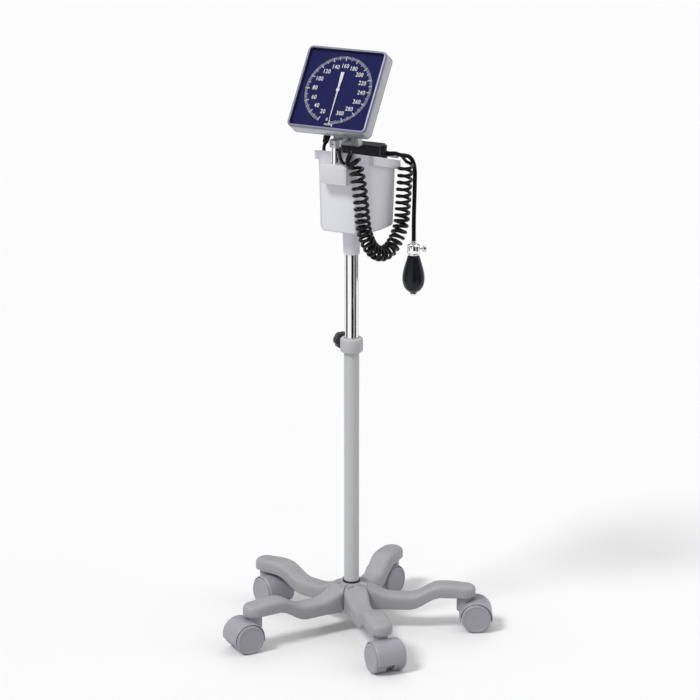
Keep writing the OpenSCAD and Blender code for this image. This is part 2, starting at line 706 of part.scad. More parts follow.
// Hoses: every route is in millimetres on the stand's own axes
elbow_mouth = face + [elbow_x, elbow_end*sin(head_lean) + elbow_back*cos(head_lean),
    elbow_end*cos(head_lean) - elbow_back*sin(head_lean)];
elbow_way = [0, -sin(head_lean), -cos(head_lean)];
// The coil's own axis: beside the post over the holder, down the corner, round and up the side
coil_route = [[14, -60.7, 821.8], [20, -60.7, 822.6], [27.5, -60.8, 821.8], [35, -61, 817.4],
    [40, -61.5, 809.5], [42.7, -62, 799], [45, -61.5, 785], [47.5, -60, 765], [49, -57, 735],
    [50, -51, 702], [54, -35, 672], [59, -12, 657.5], [64, 10, 660], [68, 27, 675], [71, 38, 698],
    [72, 42, 725], [73, 43, 750], [75, 43, 775], [77, 43, 797]];
coil_axis = spline(coil_route, 4);
coil_low = min([for (p = coil_axis) p[2]]);
coil_high = max([for (p = coil_axis) p[2]]);
// Turns count for less where the curls hang further apart, high up on the coil
coil_run = [for (i = 0, s = 0; i < len(coil_axis);
    s = i + 1 < len(coil_axis) ? s + norm(coil_axis[i + 1] - coil_axis[i])
        /(1 + curl_stretch*(coil_axis[i][2] - coil_low)/(coil_high - coil_low)) : s,
    i = i + 1) s];
coil_turned = coil_run[len(coil_run) - 1];
curl_steps = 8;
// Steps of the last part turn, which ends heading for the cuff
end_steps = 3;
coil_last = curls*curl_steps + end_steps;
coil_centres = [for (k = [0:coil_last]) at_length(coil_axis, coil_run, coil_turned*k/coil_last)];
coil_sides = sides_of(coil_centres, [0, 0, 1]);
curl_points = [for (k = [0:coil_last])
    let (t = way(coil_centres, k), v = coil_sides[k], a = 360*(k - 0.5)/curl_steps)
    coil_centres[k] + curl_r*(cos(a)*v + sin(a)*cross(t, v))];
start_way = unit(curl_points[0] - curl_points[1]);
end_way = unit(curl_points[coil_last] - curl_points[coil_last - 1]);
coil_points = concat([curl_points[0] + start_way*hose_d], curl_points,
    [curl_points[coil_last] + end_way*hose_d]);
coil_start = coil_points[0];
coil_end = coil_points[len(coil_points) - 1];
// The least distance between two turns of the coil, measured on its points
function gap_at(k) =
    min([for (i = [k + 5:min(k + 12, coil_last - 1)], t = [0, 0.25, 0.5, 0.75])
        norm(mix(curl_points[i], curl_points[i + 1], t) - curl_points[k])]) - hose_d;
coil_gap = min([for (k = [0:coil_last - 6]) gap_at(k)]);
echo(coil_gap = coil_gap, coil_start = coil_start, start_way = start_way,
    coil_end = coil_end, end_way = end_way, elbow_mouth = elbow_mouth);

// From the elbow down into the basket, under the bracket and out over the front wall
lead_route = [[-30, -38.5, 824], [-28, -39.5, 819], [-22, -39.5, 815], [-12, -39, 813.5],
    [-2, -38.5, 814], [5, -38, 817], [9.5, -38.5, 822.5], [11, -41.5, 828.5]];
hose_lead_points = concat([elbow_mouth, elbow_mouth + elbow_way*hose_d], lead_route,
    [coil_start + start_way*hose_d, coil_start]);

// From the last curl over the rim to the cuff's connector
connector_at = [cuff_w/2 - cuff_t/4 + seat_gap, 51.5, 807];
connector_len = 19;
connector_turn = 20;
connector_way = [cos(connector_turn), sin(connector_turn), 0];
connector_end = connector_at + connector_len*connector_way;
cuff_lead_route = [[64, 59, 802.8]];
cuff_lead_points = concat([coil_end, coil_end + end_way*hose_d], cuff_lead_route,
    [connector_end + connector_way*hose_d, connector_end]);
// From the cuff's other port over the rim and down to the bulb's valve
bulb_port = [cuff_w/2 + seat_gap, 38, 813];
bulb_drop = [80, 66, 665];
bulb_tube_route = [bulb_port, bulb_port + [4, 0, 0], [54, 38.6, 813.3], [59, 41.5, 813],
    [65, 45.5, 810.5], [70.5, 50, 809.5], [76, 56.5, 806.5], [80, 62, 797.5], [81.5, 65.5, 782],
    [81, 66.5, 760], [80.5, 66.5, 735], [80, 66, 700], bulb_drop + [0, 0, bulb_tube_d], bulb_drop];

module hose_lead() {
    color([0.08, 0.08, 0.09]) skin(tube_rings(hose_lead_points, hose_r, 10, [1, 0, 0]));
}
module coiled_hose() {
    color([0.07, 0.07, 0.08]) skin(tube_rings(coil_points, hose_r, 6, [0, 0, 1]));
}
module cuff_lead() {
    color([0.08, 0.08, 0.09]) skin(tube_rings(cuff_lead_points, hose_r, 10, [0, 0, 1]));
}
module bulb_tube() {
    color([0.08, 0.08, 0.09]) skin(tube_rings(bulb_tube_route, bulb_tube_d/2, 10, [0, 0, 1]));
}
cuff_y = 25;
cuff_z = tub_z + tub_wall + 0.7;
// Folded cuff seen from above: four layers side by side, joined in pairs where the cloth turns
module cuff_plan() {
    layer = cuff_t/4;
    long = cuff_w/2 - layer;
    last = long - 4;
    for (k = [0:3]) translate([k < 3 ? -long : -last, k*layer - 0.2])
        square([k < 3 ? 2*long : 2*last, layer + 0.4]);
    for (s = [-1, 1]) translate([s*long, layer*(s < 0 ? 1 : 2)]) circle(r = layer);
    translate([long, layer/2]) circle(r = layer/2);
    translate([-long, layer*2.5]) circle(r = layer/2);
    for (s = [-1, 1]) translate([s*last, layer*3.5]) circle(r = layer/2);
}
module cuff() {
    color([0.16, 0.16, 0.18]) translate([0, cuff_y, cuff_z]) linear_extrude(height = cuff_h) cuff_plan();
}
module cuff_connector() {
    color([0.75, 0.76, 0.78]) translate(connector_at) rotate([0, 90, connector_turn]) {
        difference() {
            union() {
                cylinder(r = 3, h = connector_len);
                translate([0, 0, connector_len - 11]) cylinder(r = 4.6, h = 5, $fn = 6);
                translate([0, 0, connector_len - 6]) cylinder(r = 5.2, h = 6);
            }
            translate([0, 0, -1]) cylinder(r = 1.4, h = connector_len + 2);
        }
    }
}
bulb_at = bulb_drop;
valve_turn = 30;
module valve_body() {
    color([0.85, 0.86, 0.88]) translate(bulb_at) mirror([0, 0, 1]) {
        rotate_extrude($fn = 48)
            polygon([[0, 0], [4.5, 0], [5.5, 1.5], [5.5, 5], [9.5, 6], [10.5, 8], [10.5, 21],
                [9, 24], [0, 24]]);
        translate([0, 0, 13]) rotate([0, 90, valve_turn]) ring(4.4, 1.5 + run_gap, 14.5);
    }
}
module valve_knob() {
    color([0.8, 0.81, 0.83]) translate(bulb_at - [0, 0, 13]) rotate([0, 90, valve_turn]) {
        translate([0, 0, 11]) cylinder(r = 1.5, h = 5);
        translate([0, 0, 14.9]) cylinder(r = 5.8, h = 6, $fn = 48);
    }
}
// Outline of the pear-shaped bulb: how far down it, and how wide, in parts of its size
bulb_shape = [[0, 0.53], [0.1, 0.61], [0.2, 0.71], [0.3, 0.82], [0.4, 0.91], [0.5, 0.97], [0.6, 1],
    [0.7, 0.98], [0.8, 0.89], [0.88, 0.74], [0.94, 0.55], [0.97, 0.36], [1, 0.33]];
module bulb() {
    color([0.12, 0.13, 0.18]) translate(bulb_at - [0, 0, 24.3]) mirror([0, 0, 1])
        rotate_extrude($fn = 64)
            polygon(concat([[0, 0]], [for (p = bulb_shape) [p[1]*bulb_d/2, p[0]*bulb_len]],
                [[0, bulb_len]]));
}
module end_valve() {
    color([0.8, 0.81, 0.83]) translate(bulb_at - [0, 0, 24.4 + bulb_len]) mirror([0, 0, 1])
        rotate_extrude($fn = 32)
            polygon([[0, 0], [5.4, 0], [5.4, 3], [4.4, 4.4], [1.4, 4.4], [1.4, 2.4], [0, 2.4]]);
}
// Height of the hood's lower edge above the floor
hood_edge = 19;
module caster_hood() {
    color([0.6, 0.6, 0.64]) difference() {
        union() {
            intersection() {
                translate([caster_trail, 0, wheel_r]) rotate([90, 0, 0])
                    cylinder(r = hood_r, h = hood_w, center = true, $fn = 72);
                translate([caster_trail - past/2, -past/2, hood_edge]) cube(past);
            }
            translate([caster_trail, 0, wheel_r]) rotate([90, 0, 0])
                cylinder(r = wheel_r - 5, h = web_w, center = true, $fn = 48);
            translate([0, 0, wheel_r + 8]) cylinder(r = neck_r, h = caster_h - wheel_r - 8);
        }
        for (s = [-1, 1]) translate([caster_trail, s*(web_w/2 + wheel_w/2 + 0.2), wheel_r])
            rotate([90, 0, 0])
                cylinder(r = wheel_r + 1.2, h = wheel_w + 0.4, center = true, $fn = 72);
        translate([caster_trail, 0, wheel_r]) rotate([90, 0, 0])
            cylinder(r = axle_r + 0.02, h = past, center = true);
        translate([0, 0, caster_h - 18]) cylinder(r = stem_r + 0.02, h = 30);
    }
}
module caster_pins() {
    color([0.75, 0.75, 0.77]) {
        translate([0, 0, caster_h - 17.8]) cylinder(r = stem_r, h = 17.8 + 16);
        translate([caster_trail, 0, wheel_r]) rotate([90, 0, 0])
            cylinder(r = axle_r, h = web_w + 2*wheel_w - 6, center = true);
    }
}
module wheel(s) {
    run = 0.4;
    rim = 3;
    color([0.58, 0.58, 0.63]) translate([caster_trail, 0, wheel_r]) rotate([s*90, 0, 0])
        translate([0, 0, web_w/2 + run]) difference() {
            rotate_extrude($fn = 72)
                polygon([[0, 0], [wheel_r - 1, 0], [wheel_r, 1], [wheel_r, wheel_w - rim],
                    [wheel_r - 1, wheel_w - 0.8], [wheel_r - rim, wheel_w],
                    [wheel_r - rim - 1.5, wheel_w], [wheel_r - rim - 2.2, wheel_w - 0.8],
                    [0, wheel_w - 0.2]]);
            translate([0, 0, -1]) cylinder(r = axle_r + run_gap, h = wheel_w - 2);
        }
}

base_star();
column_seal();
foot_bolt();
foot_insert();
lower_tube();
lock_collar();
collar_bush();
lock_knob();
upper_tube();
tube_guide();
basket();
sleeve_screw();
post_holder();
holder_screws();
gauge_post();
tilt_bracket();
tilt_bolt();
rear_housing();
front_frame();
window();
dial();
case_screws();
needle();
pinion();
sector_gear();
movement_frame();
capsule();
inlet_pipe();
hose_elbow();
hose_lead();
coiled_hose();
cuff_lead();
bulb_tube();
cuff();
cuff_connector();
valve_body();
valve_knob();
bulb();
end_valve();
at_caster(0) caster_hood();  // caster_1_hood
at_caster(0) caster_pins();  // caster_1_pins
at_caster(0) wheel(1);  // caster_1_wheel_a
at_caster(0) wheel(-1);  // caster_1_wheel_b
at_caster(1) caster_hood();  // caster_2_hood
at_caster(1) caster_pins();  // caster_2_pins
at_caster(1) wheel(1);  // caster_2_wheel_a
at_caster(1) wheel(-1);  // caster_2_wheel_b
at_caster(2) caster_hood();  // caster_3_hood
at_caster(2) caster_pins();  // caster_3_pins
at_caster(2) wheel(1);  // caster_3_wheel_a
at_caster(2) wheel(-1);  // caster_3_wheel_b
at_caster(3) caster_hood();  // caster_4_hood
at_caster(3) caster_pins();  // caster_4_pins
at_caster(3) wheel(1);  // caster_4_wheel_a
at_caster(3) wheel(-1);  // caster_4_wheel_b
at_caster(4) caster_hood();  // caster_5_hood
at_caster(4) caster_pins();  // caster_5_pins
at_caster(4) wheel(1);  // caster_5_wheel_a
at_caster(4) wheel(-1);  // caster_5_wheel_b
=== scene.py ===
import math
import random

import bmesh
import bpy
from mathutils import Matrix, Vector, noise


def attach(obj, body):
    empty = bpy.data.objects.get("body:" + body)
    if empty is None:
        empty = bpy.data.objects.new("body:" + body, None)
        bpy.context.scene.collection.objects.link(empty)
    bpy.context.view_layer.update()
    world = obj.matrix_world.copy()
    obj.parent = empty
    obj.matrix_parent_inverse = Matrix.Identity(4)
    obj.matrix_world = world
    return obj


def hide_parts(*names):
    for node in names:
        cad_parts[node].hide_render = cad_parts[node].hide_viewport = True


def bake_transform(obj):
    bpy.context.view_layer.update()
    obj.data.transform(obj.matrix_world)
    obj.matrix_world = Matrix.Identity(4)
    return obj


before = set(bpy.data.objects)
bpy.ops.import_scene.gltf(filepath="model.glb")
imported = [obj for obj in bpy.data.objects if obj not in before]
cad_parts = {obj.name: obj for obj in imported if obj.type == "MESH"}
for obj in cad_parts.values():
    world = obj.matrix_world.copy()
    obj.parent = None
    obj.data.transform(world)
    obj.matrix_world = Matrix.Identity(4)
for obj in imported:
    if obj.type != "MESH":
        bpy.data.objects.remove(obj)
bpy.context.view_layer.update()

MM = 0.001
random.seed(7)

# Sizes in millimetres, as in the CAD model
BOSS_REACH, BASE_TURN, ARM_UNDER, ARM_DIP, ARM_HUMP, ARM_W = 190, 24.5, 36, 60, 80, 36
ARM_FALL, ARM_ROUND, ARM_ROUND_FROM = 5, 8.5, 30
BOSS_R, HUB_R, HUB_TOP, BOSS_UNDER = 19.5, 29, 80, 58.8
HEADINGS = [28, -38, -124, -26, -102]
WHEEL_R, WHEEL_W, TRAIL, WEB_W, CASTER_H, NECK_R = 25, 21.5, 20, 12, 58.5, 12.5
COLLAR_Z, COLLAR_H, COLLAR_R, LOWER_TOP = 482.5, 24, 18.8, 489
LOWER_R, UPPER_R = 12.7, 11.1
KNOB_DIR, KNOB_Z = 144, 492.58
SLEEVE_Z, TUB_Z, RIM_Z, RIM_SLOPE, TUB_FRONT, TUB_BACK = 648.5, 692, 826, 14.8, 47, 68
TUB_FRONT_W, TUB_W, TUB_WALL, TUB_TAPER, LIP_H, LIP_OUT, LIP_START = 64, 112, 2.6, 0.94, 14, 6, 26
HOLDER_TOP, HOLDER_H, HOLDER_W, HOLDER_FRONT, POST_Y, YOKE_Z = 808, 32, 49.2, 64, 55, 835.5
CASE_W, FACE_W, CASE_R, FRAME_WALL, FRAME_BACK, FRAME_FRONT, CAN_R, CAN_BACK = 142, 134.4, 9, 2.2, 18, 6, 52, 54
RIM_LINE = 1.8
PIN_DOWN, PIN_BACK, HEAD_LEAN = 40, 66, 33.8
FACE = Vector((0, -45.9, 926.5))
ELBOW = Vector((-30, -30, -60))


# Modelling
def drop():
    bpy.ops.object.select_all(action="DESELECT")


def take(*pieces):
    drop()
    for piece in pieces:
        piece.select_set(True)
    bpy.context.view_layer.objects.active = pieces[-1]


def settle(piece, matrix=None):
    """Puts the piece where the matrix says and writes its place into its mesh."""
    if matrix is not None:
        piece.matrix_world = matrix
    take(piece)
    bpy.ops.object.transform_apply(location=True, rotation=True, scale=True)
    return piece


def made(name):
    piece = bpy.context.object
    piece.name = name
    piece.data.name = name
    return piece


def block(name, low, high):
    drop()
    low, high = Vector(low), Vector(high)
    bpy.ops.mesh.primitive_cube_add(size=1, location=(low + high) / 2 * MM)
    piece = made(name)
    piece.scale = (high - low) * MM
    return settle(piece)


def pick(piece, kind, test):
    """Edit mode, with the points, edges or faces selected whose test holds."""
    take(piece)
    bpy.ops.object.mode_set(mode="EDIT")
    bpy.ops.mesh.select_mode(type=kind)
    bpy.ops.mesh.select_all(action="DESELECT")
    mesh = bmesh.from_edit_mesh(piece.data)
    for item in {"VERT": mesh.verts, "EDGE": mesh.edges, "FACE": mesh.faces}[kind]:
        if test(item):
            item.select_set(True)
    bmesh.update_edit_mesh(piece.data)


def done():
    bpy.ops.object.mode_set(mode="OBJECT")


def middle(item):
    """The middle of an edge or a face, in millimetres."""
    return sum((v.co for v in item.verts), Vector()) / len(item.verts) / MM


def along(edge):
    return (edge.verts[1].co - edge.verts[0].co).normalized()


def bend_at(edge):
    return math.degrees(edge.calc_face_angle(0)) if edge.is_manifold else 0


def stretch(x=1.0, y=1.0, z=1.0, centre=(0, 0, 0)):
    bpy.ops.transform.resize(value=(x, y, z), center_override=Vector(centre) * MM)


def shift(x=0.0, y=0.0, z=0.0):
    bpy.ops.transform.translate(value=Vector((x, y, z)) * MM)


def extrude(x=0.0, y=0.0, z=0.0):
    bpy.ops.mesh.extrude_region_move(TRANSFORM_OT_translate={"value": Vector((x, y, z)) * MM})


def round_edges(piece, width, test=lambda e: bend_at(e) > 35, segments=3):
    pick(piece, "EDGE", test)
    bpy.ops.mesh.bevel(offset=width * MM, segments=segments, affect="EDGES", clamp_overlap=True)
    done()
    return piece


def finish_with(piece, kind, **settings):
    take(piece)
    modifier = piece.modifiers.new(kind, kind)
    for key, value in settings.items():
        setattr(modifier, key, value)
    bpy.ops.object.modifier_apply(modifier=modifier.name)
    return piece


def soften(piece, width=0.5, segments=2, angle=35):
    """Takes the sharpness off the finished piece's edges."""
    return finish_with(piece, "BEVEL", width=width * MM, segments=segments, limit_method="ANGLE",
                       angle_limit=math.radians(angle), harden_normals=False, use_clamp_overlap=True,
                       miter_outer="MITER_ARC")


def tidy_mesh(piece):
    pick(piece, "VERT", lambda v: True)
    bpy.ops.mesh.remove_doubles(threshold=0.00001)
    bpy.ops.mesh.normals_make_consistent(inside=False)
    done()
    return piece


def combine(piece, tool, how):
    finish_with(piece, "BOOLEAN", operation=how, solver="EXACT", object=tool)
    bpy.data.objects.remove(tool)
    return piece


def cut(piece, *tools):
    for tool in tools:
        combine(piece, tool, "DIFFERENCE")
    return piece


def fuse(piece, *tools):
    for tool in tools:
        combine(piece, tool, "UNION")
    return piece


def shade(piece, angle=38):
    take(piece)
    bpy.ops.object.shade_smooth_by_angle(angle=math.radians(angle))
    return piece


def turned(name, profile, steps=64, hollow=False):
    """A shape turned about the z axis: the profile is a list of (radius, height)."""
    drop()
    radius, height = profile[0]
    bpy.ops.mesh.primitive_circle_add(vertices=steps, radius=radius * MM, location=(0, 0, height * MM),
                                      fill_type="NOTHING" if hollow else "NGON")
    piece = settle(made(name))
    take(piece)
    bpy.ops.object.mode_set(mode="EDIT")
    bpy.ops.mesh.select_all(action="SELECT")
    for next_radius, next_height in profile[1:]:
        extrude(z=next_height - height)
        stretch(next_radius / radius, next_radius / radius, 1, (0, 0, next_height))
        radius, height = next_radius, next_height
    done()
    return tidy_mesh(piece)


def copied(piece, name, matrix):
    copy = piece.copy()
    copy.data = piece.data.copy()
    copy.name = name
    bpy.context.scene.collection.objects.link(copy)
    return settle(copy, matrix)


def joined(name, pieces):
    take(*pieces)
    bpy.ops.object.join()
    return made(name)


def turn(axis, degrees):
    return Matrix.Rotation(math.radians(degrees), 4, axis)


def move(x=0.0, y=0.0, z=0.0):
    return Matrix.Translation(Vector((x, y, z)) * MM)


ON_FACE = move(*FACE) @ turn("X", 90 - HEAD_LEAN)


def smooth(t):
    t = max(0.0, min(1.0, t))
    return t * t * (3 - 2 * t)


def mix(a, b, t):
    return a + (b - a) * t


# Finishes
class Flow:
    """A value, colour or vector on its way through a material's nodes."""

    def __init__(self, finish, socket):
        self.finish = finish
        self.socket = socket

    def math(self, operation, first, second=0.0):
        return self.finish.node("Math", {"operation": operation}, {0: first, 1: second})

    def __add__(self, other):
        return self.math("ADD", self, other)

    def __radd__(self, other):
        return self.math("ADD", other, self)

    def __sub__(self, other):
        return self.math("SUBTRACT", self, other)

    def __rsub__(self, other):
        return self.math("SUBTRACT", other, self)

    def __mul__(self, other):
        return self.math("MULTIPLY", self, other)

    def __rmul__(self, other):
        return self.math("MULTIPLY", other, self)

    def __pow__(self, other):
        return self.math("POWER", self, other)

    def wave(self):
        return self.math("SINE", self)

    def size(self):
        return self.math("ABSOLUTE", self)

    def between(self, low, high):
        """0 below low and 1 above high, with a soft step."""
        return self.finish.node("MapRange", {"interpolation_type": "SMOOTHSTEP"},
                                {"Value": self, "From Min": low, "From Max": high})


class Finish:
    """One material: the Principled shader and the nodes that feed it."""

    def __init__(self, name, **constants):
        self.mat = bpy.data.materials.new(name)
        self.mat.use_nodes = True
        self.tree = self.mat.node_tree
        self.shader = self.tree.nodes["Principled BSDF"]
        self.feed(**constants)
        self.place = self.node("TexCoord", {}, {}, "Object")

    def plug(self, socket, value):
        if isinstance(value, Flow):
            self.tree.links.new(value.socket, socket)
        elif isinstance(value, tuple) and len(value) == 3 and len(socket.default_value) == 4:
            socket.default_value = (*value, 1)
        else:
            socket.default_value = value

    def feed(self, **inputs):
        for label, value in inputs.items():
            name = label.replace("_", " ").title().replace("Ior", "IOR")  # as the shader spells its sockets
            self.plug(self.shader.inputs[name], value)
        return self

    def node(self, kind, settings, inputs, output=0):
        made_node = self.tree.nodes.new("ShaderNode" + kind)
        for key, value in settings.items():
            setattr(made_node, key, value)
        for key, value in inputs.items():
            self.plug(made_node.inputs[key], value)
        return Flow(self, made_node.outputs[output])

    def noise(self, scale, detail=3.0, roughness=0.5, place=None):
        return self.node("TexNoise", {}, {"Vector": place or self.place, "Scale": scale, "Detail": detail,
                                          "Roughness": roughness}, "Fac")

    def math_of(self, operation, first, second):
        return self.node("Math", {"operation": operation}, {0: first, 1: second})

    def stretched(self, x, y, z):
        return self.node("Mapping", {}, {"Vector": self.place, "Scale": Vector((x, y, z))})

    def axis(self, letter, place=None):
        return self.node("SeparateXYZ", {}, {"Vector": place or self.place}, letter)

    def blend(self, factor, first, second):
        return self.node("Mix", {"data_type": "RGBA"}, {0: factor, 6: first, 7: second}, 2)

    def bump(self, height, distance, strength=1.0):
        return self.feed(normal=self.node("Bump", {}, {"Strength": strength, "Distance": distance,
                                                       "Height": height}))


def shades(colour, factor):
    return tuple(min(1.0, channel * factor) for channel in colour)


def plastic(name, colour, roughness=0.42, grain=0.00003, mottle=0.05, grime=0.0, coat=0.0):
    """Moulded plastic: fine spark-eroded grain, slow mottling, a few rubbed places and settled dust."""
    finish = Finish(name, coat_weight=coat)
    slow = finish.noise(16, 4, 0.6)
    fine = finish.noise(1400, 2)
    scuff = finish.noise(38, 6, 0.7, finish.stretched(1, 1, 2.6)).between(0.60, 0.72)
    tone = finish.blend(slow, shades(colour, 1 - mottle), shades(colour, 1 + mottle))
    tone = finish.blend(scuff * 0.16, tone, shades(colour, 0.82))
    if grime:
        dust = 1 - finish.axis("Z").between(0.0, 0.09)
        tone = finish.blend(dust * slow * grime, tone, (0.33, 0.31, 0.29))
    finish.feed(base_color=tone, roughness=roughness + 0.10 * slow + 0.08 * scuff)
    return finish.bump(fine + 3.0 * finish.noise(210, 2), grain).mat


def paint(name, colour, roughness=0.3):
    """Sprayed paint: orange peel, a little dust caught in it and faint handling marks."""
    finish = Finish(name, coat_weight=0.1, coat_roughness=0.2, specular_ior_level=0.25)
    peel = finish.noise(420, 2, 0.4)
    marks = finish.noise(60, 5, 0.65, finish.stretched(1, 1, 0.25)).between(0.57, 0.7)
    speck = finish.noise(900, 1).between(0.72, 0.76)
    tone = finish.blend(finish.noise(9, 3), shades(colour, 0.965), shades(colour, 1.035))
    tone = finish.blend(marks * 0.18, tone, shades(colour, 0.86))
    tone = finish.blend(speck * 0.25, tone, shades(colour, 0.6))
    finish.feed(base_color=tone, roughness=roughness + 0.12 * marks)
    return finish.bump(peel, 0.00006).mat


def polished(name, colour, roughness=0.06, smear=0.12, brushed=0.0):
    """Bright metal: plating with soft smears, or brushed along z where brushed is given."""
    finish = Finish(name, metallic=1.0)
    smears = finish.noise(45, 5, 0.6).between(0.5, 0.75)
    lines = finish.noise(1, 2, 0.5, finish.stretched(2400, 2400, 30))
    tone = finish.blend(smears, colour, shades(colour, 0.93))
    finish.feed(base_color=tone, roughness=roughness + smear * smears + brushed * lines)
    return finish.bump(lines, 0.00002 * (1 + 8 * brushed), 0.4).mat


def cast_alloy(name, colour):
    """Die-cast alloy with a fine blasted skin, brighter where it is rubbed."""
    finish = Finish(name, metallic=0.85)
    slow = finish.noise(70, 4, 0.6)
    fine = finish.noise(1800, 3, 0.6)
    rubbed = slow.between(0.5, 0.7)
    tone = finish.blend(rubbed, shades(colour, 0.86), shades(colour, 1.08))
    finish.feed(base_color=tone, roughness=0.46 - 0.12 * rubbed)
    return finish.bump(fine, 0.00006).mat


def case_paint(name, colour, metal=0.6, coat=0.5):
    """Silver paint whose metallic flecks are painted lighter or darker one by one, as painted glints."""
    finish = Finish(name, metallic=metal, coat_weight=coat, coat_roughness=0.12)
    flake_glint_cells = finish.node("TexVoronoi", {}, {"Vector": finish.place, "Scale": 2600.0}, "Color")
    flake_glint = finish.axis("X", flake_glint_cells)
    slow = finish.noise(22, 4)
    # painted glints: each fleck of the paint is made lighter or darker at random
    tone = finish.blend(flake_glint, shades(colour, 0.9), shades(colour, 1.12))
    tone = finish.blend(slow * 0.3, tone, shades(colour, 0.9))
    finish.feed(base_color=tone, roughness=0.3 + 0.1 * slow)
    return finish.bump(finish.noise(700, 2), 0.00003).mat


def rubber(name, colour, roughness=0.5, bloom=0.12, grain=0.00005, gloss=0.3):
    """Rubber or soft vinyl with a dull bloom in places."""
    finish = Finish(name, specular_ior_level=gloss)
    cloud = finish.noise(55, 5, 0.6)
    worn = cloud.between(0.52, 0.72)
    tone = finish.blend(worn * bloom, colour, (0.32, 0.32, 0.34))
    tone = finish.blend(finish.noise(400, 3).between(0.66, 0.72) * 0.15, tone, (0.4, 0.4, 0.4))
    finish.feed(base_color=tone, roughness=roughness + 0.14 * worn)
    return finish.bump(finish.noise(1500, 3), grain).mat


def cloth(name, colour, thread=0.0011):
    """Woven nylon: warp and weft yarns that pass over and under, with painted shade between them and painted highlight
    on their crowns, a slight fuzz and lint.
    """
    finish = Finish(name, sheen_weight=0.25, sheen_roughness=0.5)
    wobble = finish.noise(300, 2) * 0.7
    pace = math.pi / thread
    warp = ((finish.axis("X") + finish.axis("Y")) * pace + wobble).wave()
    weft = (finish.axis("Z") * pace + wobble).wave()
    weave = warp * weft
    thread_shade_relief = warp.size() * weave.between(-0.2, 0.2) + weft.size() * (1 - weave.between(-0.2, 0.2))
    slow = finish.noise(30, 4, 0.6)
    # painted shade between the yarns and painted highlight on their crowns; the same mask gives the weave's bump
    tone = finish.blend(thread_shade_relief, shades(colour, 0.55), shades(colour, 1.25))
    tone = finish.blend(slow.between(0.45, 0.75) * 0.3, tone, shades(colour, 1.7))
    lint = finish.noise(650, 2).between(0.74, 0.78)
    tone = finish.blend(lint * 0.4, tone, (0.5, 0.5, 0.52))
    finish.feed(base_color=tone, roughness=0.82 + 0.1 * slow)
    return finish.bump(thread_shade_relief + 0.5 * finish.noise(2200, 2), 0.00022).mat


def printed(name, colour, roughness=0.35, gloss=0.22):
    """Screen-printed ink or an enamelled plate."""
    finish = Finish(name, specular_ior_level=gloss)
    slow = finish.noise(60, 4)
    tone = finish.blend(slow, shades(colour, 0.93), shades(colour, 1.07))
    finish.feed(base_color=tone, roughness=roughness + 0.08 * finish.noise(300, 2))
    return finish.bump(finish.noise(2600, 2), 0.00001).mat


def clear_cover(name):
    """Clear acrylic, with a few hairline marks in its gloss."""
    finish = Finish(name, base_color=(0.02, 0.02, 0.03), ior=1.49)
    hair = finish.noise(1, 3, 0.6, finish.stretched(40, 900, 900)).between(0.62, 0.7)
    return finish.feed(alpha=0.04 + 0.02 * hair, roughness=0.03 + 0.1 * hair).mat


PALE_GREY = (0.47, 0.47, 0.485)
FINISH = {
    "base_plastic": plastic("base_plastic", (0.365, 0.365, 0.378), grime=0.3, mottle=0.05),
    "caster_plastic": plastic("caster_plastic", (0.36, 0.355, 0.405), roughness=0.34, grime=0.25),
    "tube_paint": paint("tube_paint", (0.555, 0.565, 0.57)),
    "collar_plastic": plastic("collar_plastic", (0.52, 0.52, 0.53), roughness=0.4),
    "chrome": polished("chrome", (0.93, 0.93, 0.94), 0.04, 0.08),
    "bright_steel": polished("bright_steel", (0.66, 0.66, 0.67), 0.2, 0.12, 0.1),
    "black_rubber": rubber("black_rubber", (0.018, 0.018, 0.02)),
    "guide_plastic": plastic("guide_plastic", (0.66, 0.66, 0.62)),
    "basket_plastic": plastic("basket_plastic", (0.82, 0.82, 0.875), roughness=0.36, mottle=0.02),
    "holder_plastic": plastic("holder_plastic", (0.745, 0.74, 0.755), roughness=0.38, mottle=0.02),
    "knob_plastic": plastic("knob_plastic", (0.014, 0.014, 0.016), roughness=0.32, mottle=0.1),
    "bracket_alloy": cast_alloy("bracket_alloy", (0.62, 0.63, 0.65)),
    "case_silver": case_paint("case_silver", (0.40, 0.405, 0.435)),
    # painted shade: the rim is the case's silver paint made darker and bluer
    "shaded_rim_silver": case_paint("shaded_rim_silver", (0.20, 0.20, 0.28), 0.45, 0.1),
    "dial_blue": printed("dial_blue", (0.0145, 0.0162, 0.098), 0.5, 0.05),
    "clear_cover": clear_cover("clear_cover"),
    "needle_white": printed("needle_white", (0.82, 0.83, 0.85), 0.4),
    "brass": polished("brass", (0.72, 0.53, 0.26), 0.2, 0.15, 0.1),
    "black_fitting": rubber("black_fitting", (0.010, 0.010, 0.012), 0.35, 0.03),
    "coil_black": rubber("coil_black", (0.003, 0.003, 0.0042), 0.14, 0.006, 0.00001, 0.25),
    "cuff_cloth": cloth("cuff_cloth", (0.030, 0.032, 0.040)),
    "tape_cloth": cloth("tape_cloth", (0.014, 0.014, 0.018), 0.0007),
    "bulb_rubber": rubber("bulb_rubber", (0.005, 0.0065, 0.012), 0.3, 0.04, 0.00003, 0.3),
}


def dress(piece, slot):
    piece.data.materials.clear()
    piece.data.materials.append(FINISH[slot])
    return piece


def hang(piece, body, slot, *nodes):
    """Gives a finished piece its material, its body and the CAD nodes that it stands for."""
    dress(piece, slot)
    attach(piece, body)
    if nodes:
        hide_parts(*nodes)
    return piece


